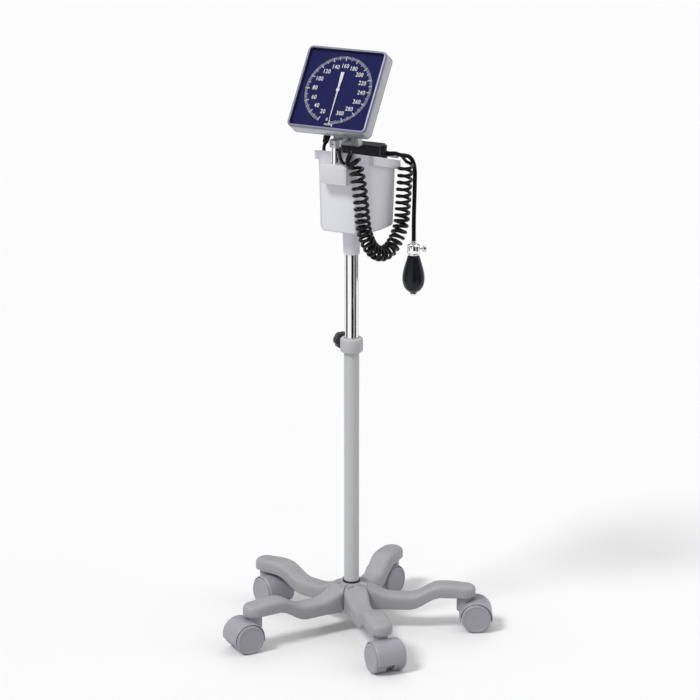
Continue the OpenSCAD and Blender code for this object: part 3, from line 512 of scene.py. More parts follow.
# Camera
def make_camera():
    azimuth, pitch, distance, height, aside = map(float, (28.22, 15.87, 4.518, 1.769, -0.0027))
    a, e = math.radians(azimuth), math.radians(pitch)
    right = Vector((math.cos(a), math.sin(a), 0))
    back = Vector((math.sin(a) * math.cos(e), -math.cos(a) * math.cos(e), math.sin(e)))
    camera = bpy.data.cameras.new("camera")
    camera.lens, camera.sensor_width = 146.5, 36
    seen = bpy.data.objects.new("camera", camera)
    bpy.context.scene.collection.objects.link(seen)
    seen.matrix_world = Matrix.Translation(Vector((math.sin(a) * distance, -math.cos(a) * distance, height))
                                           + right * aside) @ Matrix((right, back.cross(right), back)
                                                                     ).transposed().to_4x4()
    bpy.context.scene.camera = seen


make_camera()


# Hoses
def way(points, i):
    return (points[min(i + 1, len(points) - 1)] - points[max(i - 1, 0)]).normalized()


def through(points, steps):
    """A smooth curve through the points, steps pieces between each two."""
    last = len(points) - 1
    curve = []
    for i in range(last):
        p1, p2 = points[i], points[i + 1]
        p0 = points[i - 1] if i else 2 * p1 - p2
        p3 = points[i + 2] if i + 2 <= last else 2 * p2 - p1
        for k in range(steps + (i == last - 1)):
            t = k / steps
            curve.append(0.5 * (2 * p1 + (p2 - p0) * t + (2 * p0 - 5 * p1 + 4 * p2 - p3) * t ** 2
                                + (3 * p1 - p0 - 3 * p2 + p3) * t ** 3))
    return curve


HOSE_R, CURL_R, CURLS, CURL_STRETCH = 2.8, 10.5, 35, 0.4
COIL_ROUTE = [Vector(p) for p in (
    (14, -60.7, 821.8), (20, -60.7, 822.6), (27.5, -60.8, 821.8), (35, -61, 817.4), (40, -61.5, 809.5),
    (42.7, -62, 799), (45, -61.5, 785), (47.5, -60, 765), (49, -57, 735), (50, -51, 702),
    (54, -35, 672), (59, -12, 657.5), (64, 10, 660), (68, 27, 675), (71, 38, 698),
    (72, 42, 725), (73, 43, 750), (75, 43, 775), (77, 43, 797))]
LEAD_ROUTE = [Vector(p) for p in (
    (-30, -38.5, 824), (-28, -39.5, 819), (-22, -39.5, 815), (-12, -39, 813.5), (-2, -38.5, 814),
    (5, -38, 817), (9.5, -38.5, 822.5), (11, -41.5, 828.5))]
CONNECTOR_AT, CONNECTOR_LEN = Vector((36.8, 51.5, 807)), 19
CONNECTOR_WAY = Vector((math.cos(math.radians(20)), math.sin(math.radians(20)), 0))
BULB_PORT, BULB_DROP = Vector((44.3, 38, 813)), Vector((80, 66, 665))
BULB_ROUTE = [BULB_PORT] + [Vector(p) for p in (
    (48.3, 38, 813), (54, 38.6, 813.3), (59, 41.5, 813), (65, 45.5, 810.5), (70.5, 50, 809.5),
    (76, 56.5, 806.5), (80, 62, 797.5), (81.5, 65.5, 782), (81, 66.5, 760), (80.5, 66.5, 735),
    (80, 66, 700), (80, 66, 672), (80, 66, 665))]


def coil_line(steps):
    """The coil's own line, steps points a curl, wound evenly except that it hangs wider high up."""
    axis = through(COIL_ROUTE, 4)
    low, high = min(p.z for p in axis), max(p.z for p in axis)
    run = [0.0]
    for a, b in zip(axis, axis[1:]):
        run.append(run[-1] + (b - a).length / (1 + CURL_STRETCH * (a.z - low) / (high - low)))
    last = CURLS * steps + round(3 * steps / 8)
    centres = []
    for k in range(last + 1):
        reach = run[-1] * k / last
        i = max(n for n in range(len(axis) - 1) if run[n] <= reach)
        centres.append(axis[i].lerp(axis[i + 1], (reach - run[i]) / (run[i + 1] - run[i])))
    line, side = [], Vector((0, 0, 1))
    for k, centre in enumerate(centres):
        forward = way(centres, k)
        side = (side - forward * forward.dot(side)).normalized()
        a = 2 * math.pi * (k / steps - 1 / 16)
        line.append(centre + CURL_R * (math.cos(a) * side + math.sin(a) * forward.cross(side)))
    return line


def hose(name, points, radius, sides=16):
    """A round hose along the points, as a curve with one open spline."""
    curve = bpy.data.curves.new(name, "CURVE")
    curve.dimensions = "3D"
    curve.bevel_depth = radius * MM
    curve.bevel_resolution = sides // 4 - 1
    curve.use_fill_caps = True
    spline = curve.splines.new("POLY")
    spline.points.add(len(points) - 1)
    for point, place in zip(spline.points, points):
        point.co = (*(place * MM), 1)
    piece = bpy.data.objects.new(name, curve)
    bpy.context.scene.collection.objects.link(piece)
    return piece


def as_mesh(piece):
    take(piece)
    bpy.ops.object.convert(target="MESH")
    return bpy.context.object


def length_of(points):
    return sum((b - a).length for a, b in zip(points, points[1:])) * MM


curls = coil_line(24)
coil_out = (curls[0] - curls[1]).normalized()
coil_in = (curls[-1] - curls[-2]).normalized()
coil_start = curls[0] + coil_out * 2 * HOSE_R
coil_end = curls[-1] + coil_in * 2 * HOSE_R
mouth_way = Vector((0, -math.sin(math.radians(HEAD_LEAN)), -math.cos(math.radians(HEAD_LEAN))))
ELBOW_MOUTH = (ON_FACE @ (Vector((-30, -70, -60)) * MM)) / MM
connector_end = CONNECTOR_AT + CONNECTOR_LEN * CONNECTOR_WAY
cuff_line = through([coil_end, Vector((64, 59, 802.8)), connector_end + CONNECTOR_WAY * 5, connector_end], 6)
coil_path = [coil_start] + curls + cuff_line
lead_path = through([ELBOW_MOUTH, ELBOW_MOUTH + mouth_way * 5] + LEAD_ROUTE
                    + [coil_start + coil_out * 5, coil_start], 4)
bulb_path = through(BULB_ROUTE, 4)

coil = hang(hose("coil_hose", coil_path, HOSE_R, 12), "column", "coil_black", "coiled_hose", "cuff_lead")
bulb_hose = hang(hose("bulb_hose", bulb_path, 3.5), "column", "coil_black", "bulb_tube")
lead = as_mesh(hose("lead_hose", lead_path, HOSE_R))
dress(lead, "coil_black")
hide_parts("hose_lead")


# Base
def arm_low(r):
    return mix(ARM_UNDER, BOSS_UNDER, smooth((r - 0.52 * BOSS_REACH) / (0.28 * BOSS_REACH)))


def arm_high(r):
    rise = mix(mix(HUB_TOP - 0.5, ARM_DIP, smooth((r - 12) / 56)), ARM_HUMP,
               smooth((r - 0.52 * BOSS_REACH) / (0.26 * BOSS_REACH)))
    return rise - ARM_FALL * smooth((r - 0.84 * BOSS_REACH) / (0.3 * BOSS_REACH))


def arm_half(r):
    return mix(mix(ARM_W / 2 + 3.5, ARM_W / 2, smooth((r - 20) / 50)), BOSS_R,
               smooth((r - 0.6 * BOSS_REACH) / (0.3 * BOSS_REACH)))


def drawn_out(name, sections):
    """A beam drawn out along x: each section is (x, half width, low, high)."""
    x, half, low, high = sections[0]
    piece = block(name, (x, -half, low), (x + 1, half, high))
    pick(piece, "FACE", lambda f: f.normal.x > 0.9)
    shift(x=-1)
    for next_x, next_half, next_low, next_high in sections[1:]:
        if x != sections[0][0]:
            extrude(x=next_x - x)
        else:
            shift(x=next_x - x)
        stretch(1, next_half / half, (next_high - next_low) / (high - low),
                (next_x, 0, (low + high) / 2))
        shift(z=(next_low + next_high - low - high) / 2)
        x, half, low, high = next_x, next_half, next_low, next_high
    done()
    return piece


def upright(edge):
    return abs(along(edge).z) > 0.95


def between_faces(edge, up, side):
    """Whether the edge lies between a face that passes one test and a face that passes the other."""
    if len(edge.link_faces) != 2:
        return False
    a, b = (f.normal for f in edge.link_faces)
    return (up(a) and side(b)) or (up(b) and side(a))


def make_arm():
    arm = drawn_out("arm", [(r, arm_half(r), arm_low(r), arm_high(r)) for r in range(10, BOSS_REACH + 1, 10)])
    round_edges(arm, ARM_ROUND, lambda e: between_faces(e, lambda n: n.z > 0.5, lambda n: abs(n.z) < 0.2)
                and ARM_ROUND_FROM < middle(e).x < BOSS_REACH - 1, 7)
    round_edges(arm, 1.5, lambda e: between_faces(e, lambda n: n.z < -0.5, lambda n: abs(n.z) < 0.2)
                and 12 < middle(e).x < BOSS_REACH - 1, 2)
    top = arm_high(BOSS_REACH)
    dome = [(BOSS_R - 1.5, BOSS_UNDER), (BOSS_R - 0.4, BOSS_UNDER + 0.4), (BOSS_R, BOSS_UNDER + 1.5)]
    for k in range(8):
        a = math.radians(90 * k / 7)
        dome.append((BOSS_R - ARM_ROUND * (1 - math.cos(a)), top - ARM_ROUND * (1 - math.sin(a))))
    return fuse(arm, settle(turned("dome", dome + [(1, top + 0.3)], 72), move(BOSS_REACH)))


def make_base():
    arm = make_arm()
    hollow = drawn_out("hollow", [(r, arm_half(r) - 3.2, arm_low(r) - 3, arm_low(r) + 5)
                                  for r in range(42, 168, 9)])
    round_edges(hollow, 1.5, lambda e: between_faces(e, lambda n: n.z > 0.5, lambda n: abs(n.z) < 0.2), 2)
    base = turned("base_shell", [(39, 34.5), (39, 38), (HUB_R, 38), (HUB_R, HUB_TOP - 14),
                                 (HUB_R - 4, HUB_TOP - 7), (LOWER_R + 4.5, HUB_TOP)], 96)
    round_edges(base, 1.6, lambda e: bend_at(e) > 15 and middle(e).z > 50, 3)
    for i in range(5):
        fuse(base, copied(arm, f"arm_{i}", turn("Z", BASE_TURN - 72 * i)))
    for i in range(5):
        aim = turn("Z", BASE_TURN - 72 * i)
        cut(base, copied(hollow, "hollow_cut", aim),
            settle(turned("stem_hole", [(5.1, 55), (5.1, 75.8)], 24), aim @ move(BOSS_REACH)),
            settle(block("seam_cut", (HUB_R - 1.5, -0.8, ARM_UNDER + 4), (HUB_R + 11, 0.8, HUB_TOP)),
                   aim @ turn("Z", 36)),
            settle(block("seam_top", (LOWER_R + 5, -0.7, HUB_TOP - 4.5), (HUB_R, 0.7, HUB_TOP + 2)),
                   aim @ turn("Z", 36)))
    cut(base, turned("tube_hole", [(12.8, 43), (12.8, 90)], 64), turned("bolt_hole", [(5.2, 30), (5.2, 50)], 24))
    for spare in (arm, hollow):
        bpy.data.objects.remove(spare)
    tidy_mesh(base)
    finish_with(base, "WEIGHTED_NORMAL", keep_sharp=True)
    return hang(shade(base, 32), "stand", "base_plastic", "base_star")


# Casters
def make_casters():
    lie = move(TRAIL, 0, WHEEL_R) @ turn("X", 90)
    half = (WEB_W + 2 * WHEEL_W - 3) / 2
    hood = turned("hood", [(28.1, -half), (28.1, half)], 96)
    round_edges(hood, 4.5, lambda e: bend_at(e) > 60, 5)
    settle(hood, lie)
    cut(hood, block("low_cut", (-60, -60, -20), (60 + TRAIL, 60, 19)))
    core = settle(turned("core", [(WHEEL_R - 5, -WEB_W / 2 + 0.01), (WHEEL_R - 5, WEB_W / 2 - 0.01)], 64), lie)
    neck = turned("neck", [(NECK_R, 33), (NECK_R, CASTER_H)], 64)
    round_edges(neck, 1.2, lambda e: bend_at(e) > 60 and middle(e).z > 50)
    fuse(hood, core, neck)
    for side in (-1, 1):
        middle_y = side * (WEB_W / 2 + WHEEL_W / 2 + 2.2)
        cut(hood, settle(turned("pocket", [(26.2, -WHEEL_W / 2 - 2), (26.2, WHEEL_W / 2 + 2)], 96),
                         move(0, middle_y) @ lie))
    cut(hood, settle(turned("axle_hole", [(3.05, -40), (3.05, 40)], 24), lie),
        turned("stem_bore", [(5.03, CASTER_H - 18), (5.03, 90)], 24))
    soften(tidy_mesh(hood), 0.45, 2, 40)
    shade(hood, 35)
    wheel = turned("wheel", [(WHEEL_R - 1.2, 0), (WHEEL_R, 1.2), (WHEEL_R, WHEEL_W - 3.4),
                             (WHEEL_R - 0.5, WHEEL_W - 1.6), (WHEEL_R - 1.8, WHEEL_W - 0.4),
                             (WHEEL_R - 3, WHEEL_W), (WHEEL_R - 4.2, WHEEL_W - 0.1),
                             (WHEEL_R - 4.9, WHEEL_W - 0.8), (WHEEL_R - 5.6, WHEEL_W - 0.9),
                             (7, WHEEL_W - 0.45), (6.6, WHEEL_W - 0.75), (2, WHEEL_W - 0.7)], 96)
    cut(wheel, turned("axle_bore", [(3.06, -1), (3.06, WHEEL_W - 2)], 24))
    for z in (5.5, 10, 14.5):
        cut(wheel, turned("tread_groove", [(WHEEL_R - 0.35, z - 0.3), (WHEEL_R + 1, z - 0.5),
                                           (WHEEL_R + 1, z + 0.5), (WHEEL_R - 0.35, z + 0.3),
                                           (WHEEL_R - 0.35, z - 0.3)], 96, hollow=True))
    shade(tidy_mesh(wheel), 30)
    for i, heading in enumerate(HEADINGS, 1):
        stand = turn("Z", BASE_TURN - 72 * (i - 1)) @ move(BOSS_REACH) @ turn("Z", heading - BASE_TURN + 72 * (i - 1))
        hang(copied(hood, f"hood_{i}", stand), f"caster_{i}", "caster_plastic", f"caster_{i}_hood")
        for letter, side in (("a", 1), ("b", -1)):
            seat = move(TRAIL, 0, WHEEL_R) @ turn("X", side * 90) @ move(0, 0, WEB_W / 2 + 0.4)
            hang(copied(wheel, f"wheel_{i}{letter}", stand @ seat), f"wheel_{i}{letter}", "caster_plastic",
                 f"caster_{i}_wheel_{letter}")
    for spare in (hood, wheel):
        bpy.data.objects.remove(spare)


make_base()
make_casters()


# Collar and knob
def slice_off(piece, place, normal):
    """Takes away what lies beyond the plane and closes the piece there."""
    pick(piece, "FACE", lambda f: True)
    bpy.ops.mesh.bisect(plane_co=Vector(place) * MM, plane_no=Vector(normal).normalized(), use_fill=True,
                        clear_outer=True)
    done()
    return piece


def across(low, high):
    """Whether an edge runs between two heights, level with the floor."""
    return lambda e: low < middle(e).z < high and abs(along(e).z) < 0.2 and bend_at(e) > 35


AT_KNOB = move(0, 0, KNOB_Z) @ turn("Z", KNOB_DIR) @ turn("Y", 90)


def make_collar():
    collar = turned("collar", [(18.8 - 2.4, COLLAR_Z), (18.1, 483.3), (18.8, 485.2), (18.8, 496), (18.8, 502.6),
                               (18.2, 504.5), (16.9, 505.8), (14.6, 506.5)], 96)
    boss = settle(turned("boss", [(9.4, 10), (9.0, 18), (8.5, 20), (8.2, 25.8)], 64), AT_KNOB)
    fuse(collar, boss)
    cut(collar, turned("bores", [(12.76, 480), (12.76, 489), (14.16, 489), (14.16, 504.5), (12.1, 504.5),
                                 (12.1, 508)], 96),
        settle(turned("knob_bore", [(4.06, 0), (4.06, 40)], 32), AT_KNOB))
    for angle in (90, 270):
        cut(collar, settle(block("parting_line", (17.6, -0.3, 470), (22, 0.3, 520)), turn("Z", KNOB_DIR + angle)))
    soften(tidy_mesh(collar), 0.55, 3, 32)
    return hang(shade(collar, 30), "stand", "collar_plastic", "lock_collar")


def make_knob():
    knob = turned("knob", [(7, 26.8), (9, 29.6), (12.2, 30.7), (13.4, 31.4), (14, 33), (14, 41.4), (13.4, 43),
                           (12, 44.2), (10, 44.9), (8.8, 44.3), (7.9, 43.9), (2, 43.8)], 96)
    for k in range(6):
        cut(knob, settle(turned("grip", [(4.6, 30.3), (4.6, 52)], 40), turn("Z", 60 * k) @ move(16.6)))
    fuse(knob, turned("knob_shaft", [(4, 14.46), (4, 28)], 32))
    soften(tidy_mesh(knob), 0.6, 3, 32)
    return hang(shade(settle(knob, AT_KNOB), 32), "lock_knob", "knob_plastic", "lock_knob")


# Basket and holder
def tub_form(name, low, high, grow=0.0):
    """The basket's plan drawn up from low to high: a narrow flat front, slanting corners, a broad round back."""
    piece = block(name, (-TUB_W / 2 - grow, -TUB_FRONT - grow, low), (TUB_W / 2 + grow, TUB_BACK + grow, high))
    for side in (-1, 1):
        for corner, normal in (((32, -47), (26, -18)), ((50, -21), (29, -6))):
            outward = Vector((side * normal[0], normal[1], 0)).normalized()
            slice_off(piece, Vector((side * corner[0], corner[1], 0)) + outward * grow, outward)
    for low_y, high_y, reach, steps in ((-60, -38, 3.14, 5), (-38, -10, 2.44, 4), (-10, 40, 6.15, 5), (40, 90, 28, 12)):
        round_edges(piece, reach, lambda e: upright(e) and low_y < middle(e).y < high_y, steps)
    return piece


def tapered(piece, low):
    pick(piece, "VERT", lambda v: v.co.z < (low + 1) * MM)
    stretch(TUB_TAPER, TUB_TAPER, 1, (0, 0, low))
    done()
    return piece


RIM = move(0, -TUB_FRONT, RIM_Z) @ turn("X", -RIM_SLOPE)


def past_rim(low, high=200.0):
    """A cutter between two heights over the sloping plane of the rim."""
    return settle(block("past_rim", (-160, -160, low), (160, 240, high)), RIM)


def make_basket():
    tub = round_edges(tapered(tub_form("basket_shell", TUB_Z, RIM_Z + 1), TUB_Z), 4, across(TUB_Z - 1, TUB_Z + 1), 4)
    lip = tub_form("lip", 740, 850, LIP_OUT)
    groove = cut(tub_form("groove", 700, 860, LIP_OUT - 2), past_rim(-2.2),
                 block("groove_front", (-90, -90, 690), (90, -LIP_START + 2, 870)))
    cut(lip, past_rim(0), past_rim(-160, -LIP_H), block("lip_front", (-90, -90, 690), (90, -LIP_START, 870)), groove)
    fuse(tub, lip, turned("sleeve", [(13.3, SLEEVE_Z), (13.9, 662), (15.1, 686), (16.2, 689), (18.4, 691.2),
                                     (21.5, 692.4), (21.5, 694)], 96))
    inside = round_edges(tapered(tub_form("inside", TUB_Z + 3, RIM_Z + 3, -TUB_WALL), TUB_Z + 3), 4,
                         across(TUB_Z + 2, TUB_Z + 4), 4)
    cut(tub, inside, past_rim(0), turned("sleeve_bore", [(11.16, 640), (11.16, 690.6)], 64),
        settle(turned("screw_hole", [(2.1, 0), (2.1, 40)], 24), move(0, 0, 663.5) @ turn("X", -90)))
    for x in (-16, 16):
        cut(tub, settle(turned("screw_hole", [(2.1, -15), (2.1, 15)], 24), move(x, -45, 792) @ turn("X", 90)))
    soften(tidy_mesh(tub), 0.7, 3, 40)
    finish_with(tub, "WEIGHTED_NORMAL", keep_sharp=True)
    return hang(shade(tub, 40), "column", "basket_plastic", "basket")


def make_holder():
    low = HOLDER_TOP - HOLDER_H
    holder = block("holder", (-HOLDER_W / 2, -HOLDER_FRONT, low), (HOLDER_W / 2, -42, HOLDER_TOP))
    round_edges(holder, 2.5, lambda e: upright(e) and middle(e).y < -60, 4)
    round_edges(holder, 0.9, lambda e: bend_at(e) > 60 and middle(e).y < -43, 3)
    cut(holder, tapered(tub_form("wall", TUB_Z, RIM_Z + 1), TUB_Z),
        settle(turned("post_bore", [(6.41, low + 6), (6.41, 830)], 48), move(0, -POST_Y)))
    hang(shade(tidy_mesh(holder), 35), "column", "holder_plastic", "post_holder")
    plate = round_edges(block("bare_plate", (-21.5, -HOLDER_FRONT - 0.5, low + 4), (21.5, -HOLDER_FRONT, HOLDER_TOP - 4)),
                        2.2, lambda e: abs(along(e).y) > 0.9, 5)
    round_edges(plate, 0.3, lambda e: bend_at(e) > 60, 2)
    hang(shade(plate, 35), "column", "holder_plastic")


# Tilt bracket
PIN_Y, PIN_Z = -13.307, 856.545


def make_bracket():
    bracket = turned("bracket", [(8.6, YOKE_Z), (9.5, YOKE_Z + 0.9), (9.5, YOKE_Z + 11), (8.9, YOKE_Z + 12.1),
                                 (8, YOKE_Z + 12.5)], 64)
    settle(bracket, move(0, -POST_Y))
    yoke = round_edges(block("yoke", (-23, PIN_Y - 7, YOKE_Z - 4), (23, PIN_Y + 7, YOKE_Z + 13)), 1.2)
    bridge = round_edges(block("bridge", (-7, -POST_Y, YOKE_Z + 3), (7, PIN_Y + 2, YOKE_Z + 10.5)), 1.0,
                         lambda e: bend_at(e) > 60 and abs(along(e).y) > 0.9)
    fuse(bracket, bridge, yoke)
    for side in (-1, 1):
        ear = block("ear", (side * 16.3 - 3, PIN_Y - 7, YOKE_Z + 2), (side * 16.3 + 3, PIN_Y + 7, PIN_Z + 7))
        round_edges(ear, 6.9, lambda e: abs(along(e).x) > 0.9 and middle(e).z > PIN_Z, 10)
        fuse(bracket, ear)
    for k in range(8):
        x = 5 * (k - 3.5)
        cut(bracket, block("rib_groove", (x - 1.7, PIN_Y - 9, YOKE_Z - 1), (x + 1.7, PIN_Y - 5.5, YOKE_Z + 10)))
    cut(bracket, settle(turned("post_bore", [(6.41, YOKE_Z - 3), (6.41, YOKE_Z + 10.1)], 48), move(0, -POST_Y)),
        settle(turned("pin_bore", [(3.06, -40), (3.06, 40)], 32), move(0, PIN_Y, PIN_Z) @ turn("Y", 90)),
        settle(turned("set_screw_hole", [(1.6, 6), (1.6, 14)], 24), move(0, -POST_Y, YOKE_Z + 6) @ turn("X", 90)))
    soften(tidy_mesh(bracket), 0.35, 2, 40)
    hang(shade(bracket, 35), "bracket", "bracket_alloy", "tilt_bracket")


# Gauge
def plate_form(name, half, low, high, corner, steps=8):
    return round_edges(block(name, (-half, -half, low), (half, half, high)), corner, upright, steps)


SCREWS = [(x, y) for x in (-63.05, 63.05) for y in (-63.05, 63.05)]


def make_frame():
    front_edge = lambda e: between_faces(e, lambda n: n.z > 0.9, lambda n: abs(n.z) < 0.2)
    back_edge = lambda e: between_faces(e, lambda n: n.z < -0.9, lambda n: abs(n.z) < 0.2)
    bezel = plate_form("bezel", CASE_W / 2, -FRAME_BACK, RIM_LINE - 0.4, CASE_R, 9)
    round_edges(bezel, 0.8, lambda e: front_edge(e) or back_edge(e), 3)
    fuse(bezel, plate_form("rim_seat", CASE_W / 2 - 1.1, -4, RIM_LINE + 0.2, CASE_R - 1.1, 9))
    cut(bezel, plate_form("cavity", CASE_W / 2 - FRAME_WALL, -25, 4, CASE_R - FRAME_WALL))
    for x, y in SCREWS:
        fuse(bezel, settle(turned("screw_boss", [(7, -FRAME_BACK), (7, -1.05)], 32), move(x, y)))
    for x, y in SCREWS:
        cut(bezel, settle(turned("screw_hole", [(1.56, -FRAME_BACK - 1), (1.56, -5)], 16), move(x, y)))
    soften(tidy_mesh(bezel), 0.25, 2, 40)
    finish_with(bezel, "WEIGHTED_NORMAL", keep_sharp=True)
    hang(shade(settle(bezel, ON_FACE), 38), "head", "case_silver", "front_frame")
    # The window's rim, with a fine bead round the window; its silver is the case's paint made darker and bluer, as
    # painted shade
    rim = plate_form("rim", CASE_W / 2, RIM_LINE, FRAME_FRONT, CASE_R, 9)
    round_edges(rim, 2.2, front_edge, 5)
    round_edges(rim, 0.5, back_edge, 2)
    fuse(rim, plate_form("bead", FACE_W / 2 + 1.1, FRAME_FRONT - 0.4, FRAME_FRONT + 0.4, 5.9))
    cut(rim, plate_form("sight", FACE_W / 2, 0, 12, 5))
    soften(tidy_mesh(rim), 0.25, 2, 40)
    finish_with(rim, "WEIGHTED_NORMAL", keep_sharp=True)
    hang(shade(settle(rim, ON_FACE), 38), "head", "shaded_rim_silver")


def make_housing():
    back = -CAN_BACK
    can = turned("can", [(46.5, back), (49.4, back + 0.7), (51.3, back + 2.4), (CAN_R, back + 4.6), (CAN_R, -24),
                         (CAN_R + 1.4, -21.4), (CAN_R + 3.4, -19.5)], 128)
    plate = round_edges(plate_form("back_plate", CASE_W / 2, -FRAME_BACK - 2, -FRAME_BACK, CASE_R, 9), 0.7,
                        lambda e: between_faces(e, lambda n: n.z < -0.9, lambda n: abs(n.z) < 0.2), 2)
    fuse(can, plate)
    cut(can, turned("dish", [(31, back - 1), (31, back + 0.7)], 96), turned("pocket", [(49.5, back + 2.5), (49.5, 5)], 96))
    for side in (-1, 1):
        lug = block("lug", (side * 9 - 4, -PIN_DOWN - 7, -PIN_BACK - 7), (side * 9 + 4, -PIN_DOWN + 7, back + 2.6))
        round_edges(lug, 6.9, lambda e: abs(along(e).x) > 0.9 and middle(e).z < -PIN_BACK, 10)
        fuse(can, lug)
    foot = round_edges(block("lug_foot", (-15.5, -PIN_DOWN - 8.5, back - 0.9), (15.5, -PIN_DOWN + 9.5, back + 1)), 3,
                       upright, 4)
    fuse(can, foot)
    cut(can, settle(turned("pin_bore", [(3.06, -40), (3.06, 40)], 32), move(0, -PIN_DOWN, -PIN_BACK) @ turn("Y", 90)),
        settle(turned("hose_hole", [(3.06, back - 3), (3.06, back + 6)], 24), move(-30, -30)))
    for x, y in SCREWS:
        cut(can, settle(turned("screw_hole", [(1.7, -30), (1.7, -10)], 16), move(x, y)))
    soften(tidy_mesh(can), 0.4, 2, 40)
    finish_with(can, "WEIGHTED_NORMAL", keep_sharp=True)
    hang(shade(settle(can, ON_FACE), 38), "head", "case_silver", "rear_housing")


def lettering(name, words, height, x, y):
    """Words as a thin mesh on the dial, their middle at x and y."""
    drop()
    bpy.ops.object.text_add()
    text = bpy.context.object
    text.data.body, text.data.size = words, height * MM * 1.38
    text.data.align_x, text.data.align_y = "CENTER", "CENTER"
    text.data.space_character, text.data.resolution_u, text.data.offset = 1.1, 6, 0.00012
    bpy.ops.object.convert(target="MESH")
    return settle(made(name), move(x, y, 0.07) @ Matrix.Diagonal((0.84, 1, 1, 1)))


def ring_of_ticks(name, inner, outer, width, count):
    """Thin bars from straight down to the scale's end, clockwise as the dial is read."""
    tick = block(name, (-width / 2, -outer, 0.03), (width / 2, -inner, 0.09))
    pick(tick, "FACE", lambda f: True)
    bpy.ops.mesh.spin(steps=count, dupli=True, angle=math.radians(-339), center=(0, 0, 0),
                      axis=(0, 0, 1))
    done()
    return tick


def make_dial_print():
    parts = [ring_of_ticks("ticks", 54.2, 58.8, 0.55, 150), ring_of_ticks("ticks_10", 52.6, 58.8, 0.9, 30),
             ring_of_ticks("ticks_20", 51.2, 58.8, 1.4, 15)]
    for value in range(20, 301, 20):
        angle = math.radians(1.13 * value)
        parts.append(lettering("number", str(value), 7.3, -42 * math.sin(angle), -42 * math.cos(angle)))
    parts += [lettering("zero", "0", 5.2, -5.0, -51.5), lettering("unit", "mmHg", 4.6, 0, -59.5)]
    scale = settle(joined("dial_print", parts), ON_FACE)
    hang(scale, "head", "needle_white")


def make_needle():
    blade = block("needle_blade", (-0.95, -51, 0.72), (0.95, 31, 1.28))
    for y in (-2, 6, 20):
        pick(blade, "FACE", lambda f: True)
        bpy.ops.mesh.bisect(plane_co=(0, y * MM, 0), plane_no=(0, 1, 0))
        done()
    for y, wide in ((-51, 0.5), (-2, 1.35), (6, 1.6), (20, 2.8), (31, 3.1)):
        pick(blade, "VERT", lambda v: abs(v.co.y / MM - y) < 0.1)
        stretch(wide, 1, 1)
        done()
    boss = turned("needle_boss", [(3.1, 0.72), (3.1, 1.5), (2.6, 1.9), (0.5, 1.95)], 48)
    fuse(blade, boss)
    cut(blade, turned("arbor_hole", [(0.6, 0), (0.6, 1.3)], 16))
    soften(tidy_mesh(blade), 0.12, 2, 40)
    hang(shade(settle(blade, ON_FACE), 35), "needle", "needle_white", "needle")


def make_elbow():
    x, y, z = ELBOW
    down = move(x, y, z) @ turn("X", 90)
    elbow = turned("elbow", [(6, -y - 33.2), (6, 10)], 48)
    settle(elbow, down)
    drop()
    bpy.ops.mesh.primitive_uv_sphere_add(segments=48, ring_count=24, radius=6.2 * MM, location=ELBOW * MM)
    fuse(elbow, made("bend"),
         settle(turned("stub", [(6, 0), (6, 4.6), (5.6, 5.9)], 48), move(x, y, z)),
         settle(turned("spigot", [(3, 0), (3, 9.3)], 32), move(x, y, z)),
         settle(round_edges(turned("nut", [(6.5, 10), (6.5, 17)], 6), 0.6), down))
    ribs = [(6.0, 17)]
    for k in range(6):
        start, radius = 18.4 + 3.5 * k, 6.3 - 0.22 * k
        ribs += [(radius - 0.9, start - 0.9), (radius - 0.05, start - 0.4), (radius, start),
                 (radius - 0.1, start + 1.3), (radius - 1.0, start + 1.8)]
    fuse(elbow, settle(turned("boot", ribs + [(3.1, 40)], 40), down))
    soften(tidy_mesh(elbow), 0.3, 2, 45)
    hang(shade(settle(elbow, ON_FACE), 40), "head", "black_fitting", "hose_elbow")


# Cuff
CUFF_LOW, CUFF_HIGH = 695.4, 825.2


def bend_round(x, y, radius, side, steps=8):
    """Half a turn of the cloth, from its nearer run to the next one behind it."""
    return [(x + side * radius * math.sin(math.pi * k / steps), y - radius * math.cos(math.pi * k / steps))
            for k in range(1, steps)]


def level_run(x0, x1, y, steps=9):
    return [(mix(x0, x1, k / steps), y) for k in range(steps + 1)]


def ribbon(name, plan, low, high):
    """Cloth standing on edge along a plan line, as a strip of faces from low to high."""
    curve = bpy.data.curves.new(name, "CURVE")
    curve.dimensions, curve.fill_mode, curve.extrude = "2D", "NONE", (high - low) / 2 * MM
    spline = curve.splines.new("POLY")
    spline.points.add(len(plan) - 1)
    for point, (x, y) in zip(spline.points, plan):
        point.co = (x * MM, y * MM, 0, 1)
    strip = bpy.data.objects.new(name, curve)
    bpy.context.scene.collection.objects.link(strip)
    return settle(as_mesh(strip), move(0, 0, (low + high) / 2))


def loops_at(piece, heights):
    for z in heights:
        pick(piece, "FACE", lambda f: True)
        bpy.ops.mesh.bisect(plane_co=(0, 0, z * MM), plane_no=(0, 0, 1))
        done()


def thicken(piece, thickness, weight):
    """Solidify whose thickness follows a weight that is a function of the place."""
    group = piece.vertex_groups.new(name="puff")
    for vertex in piece.data.vertices:
        group.add([vertex.index], weight(vertex.co / MM), "REPLACE")
    finish_with(piece, "SOLIDIFY", thickness=thickness * MM, offset=0, use_even_offset=True, vertex_group="puff",
                thickness_vertex_group=0.0)
    piece.vertex_groups.clear()
    return piece


CUFF_PLAN = (level_run(37, -36.5, 28.75) + bend_round(-36.5, 32.5, 3.75, -1) + level_run(-36.5, 36.5, 36.25)
             + bend_round(36.5, 40, 3.75, 1) + level_run(36.5, -33, 43.75) + bend_round(-33, 47.5, 3.75, -1)
             + level_run(-33, 33, 51.25))


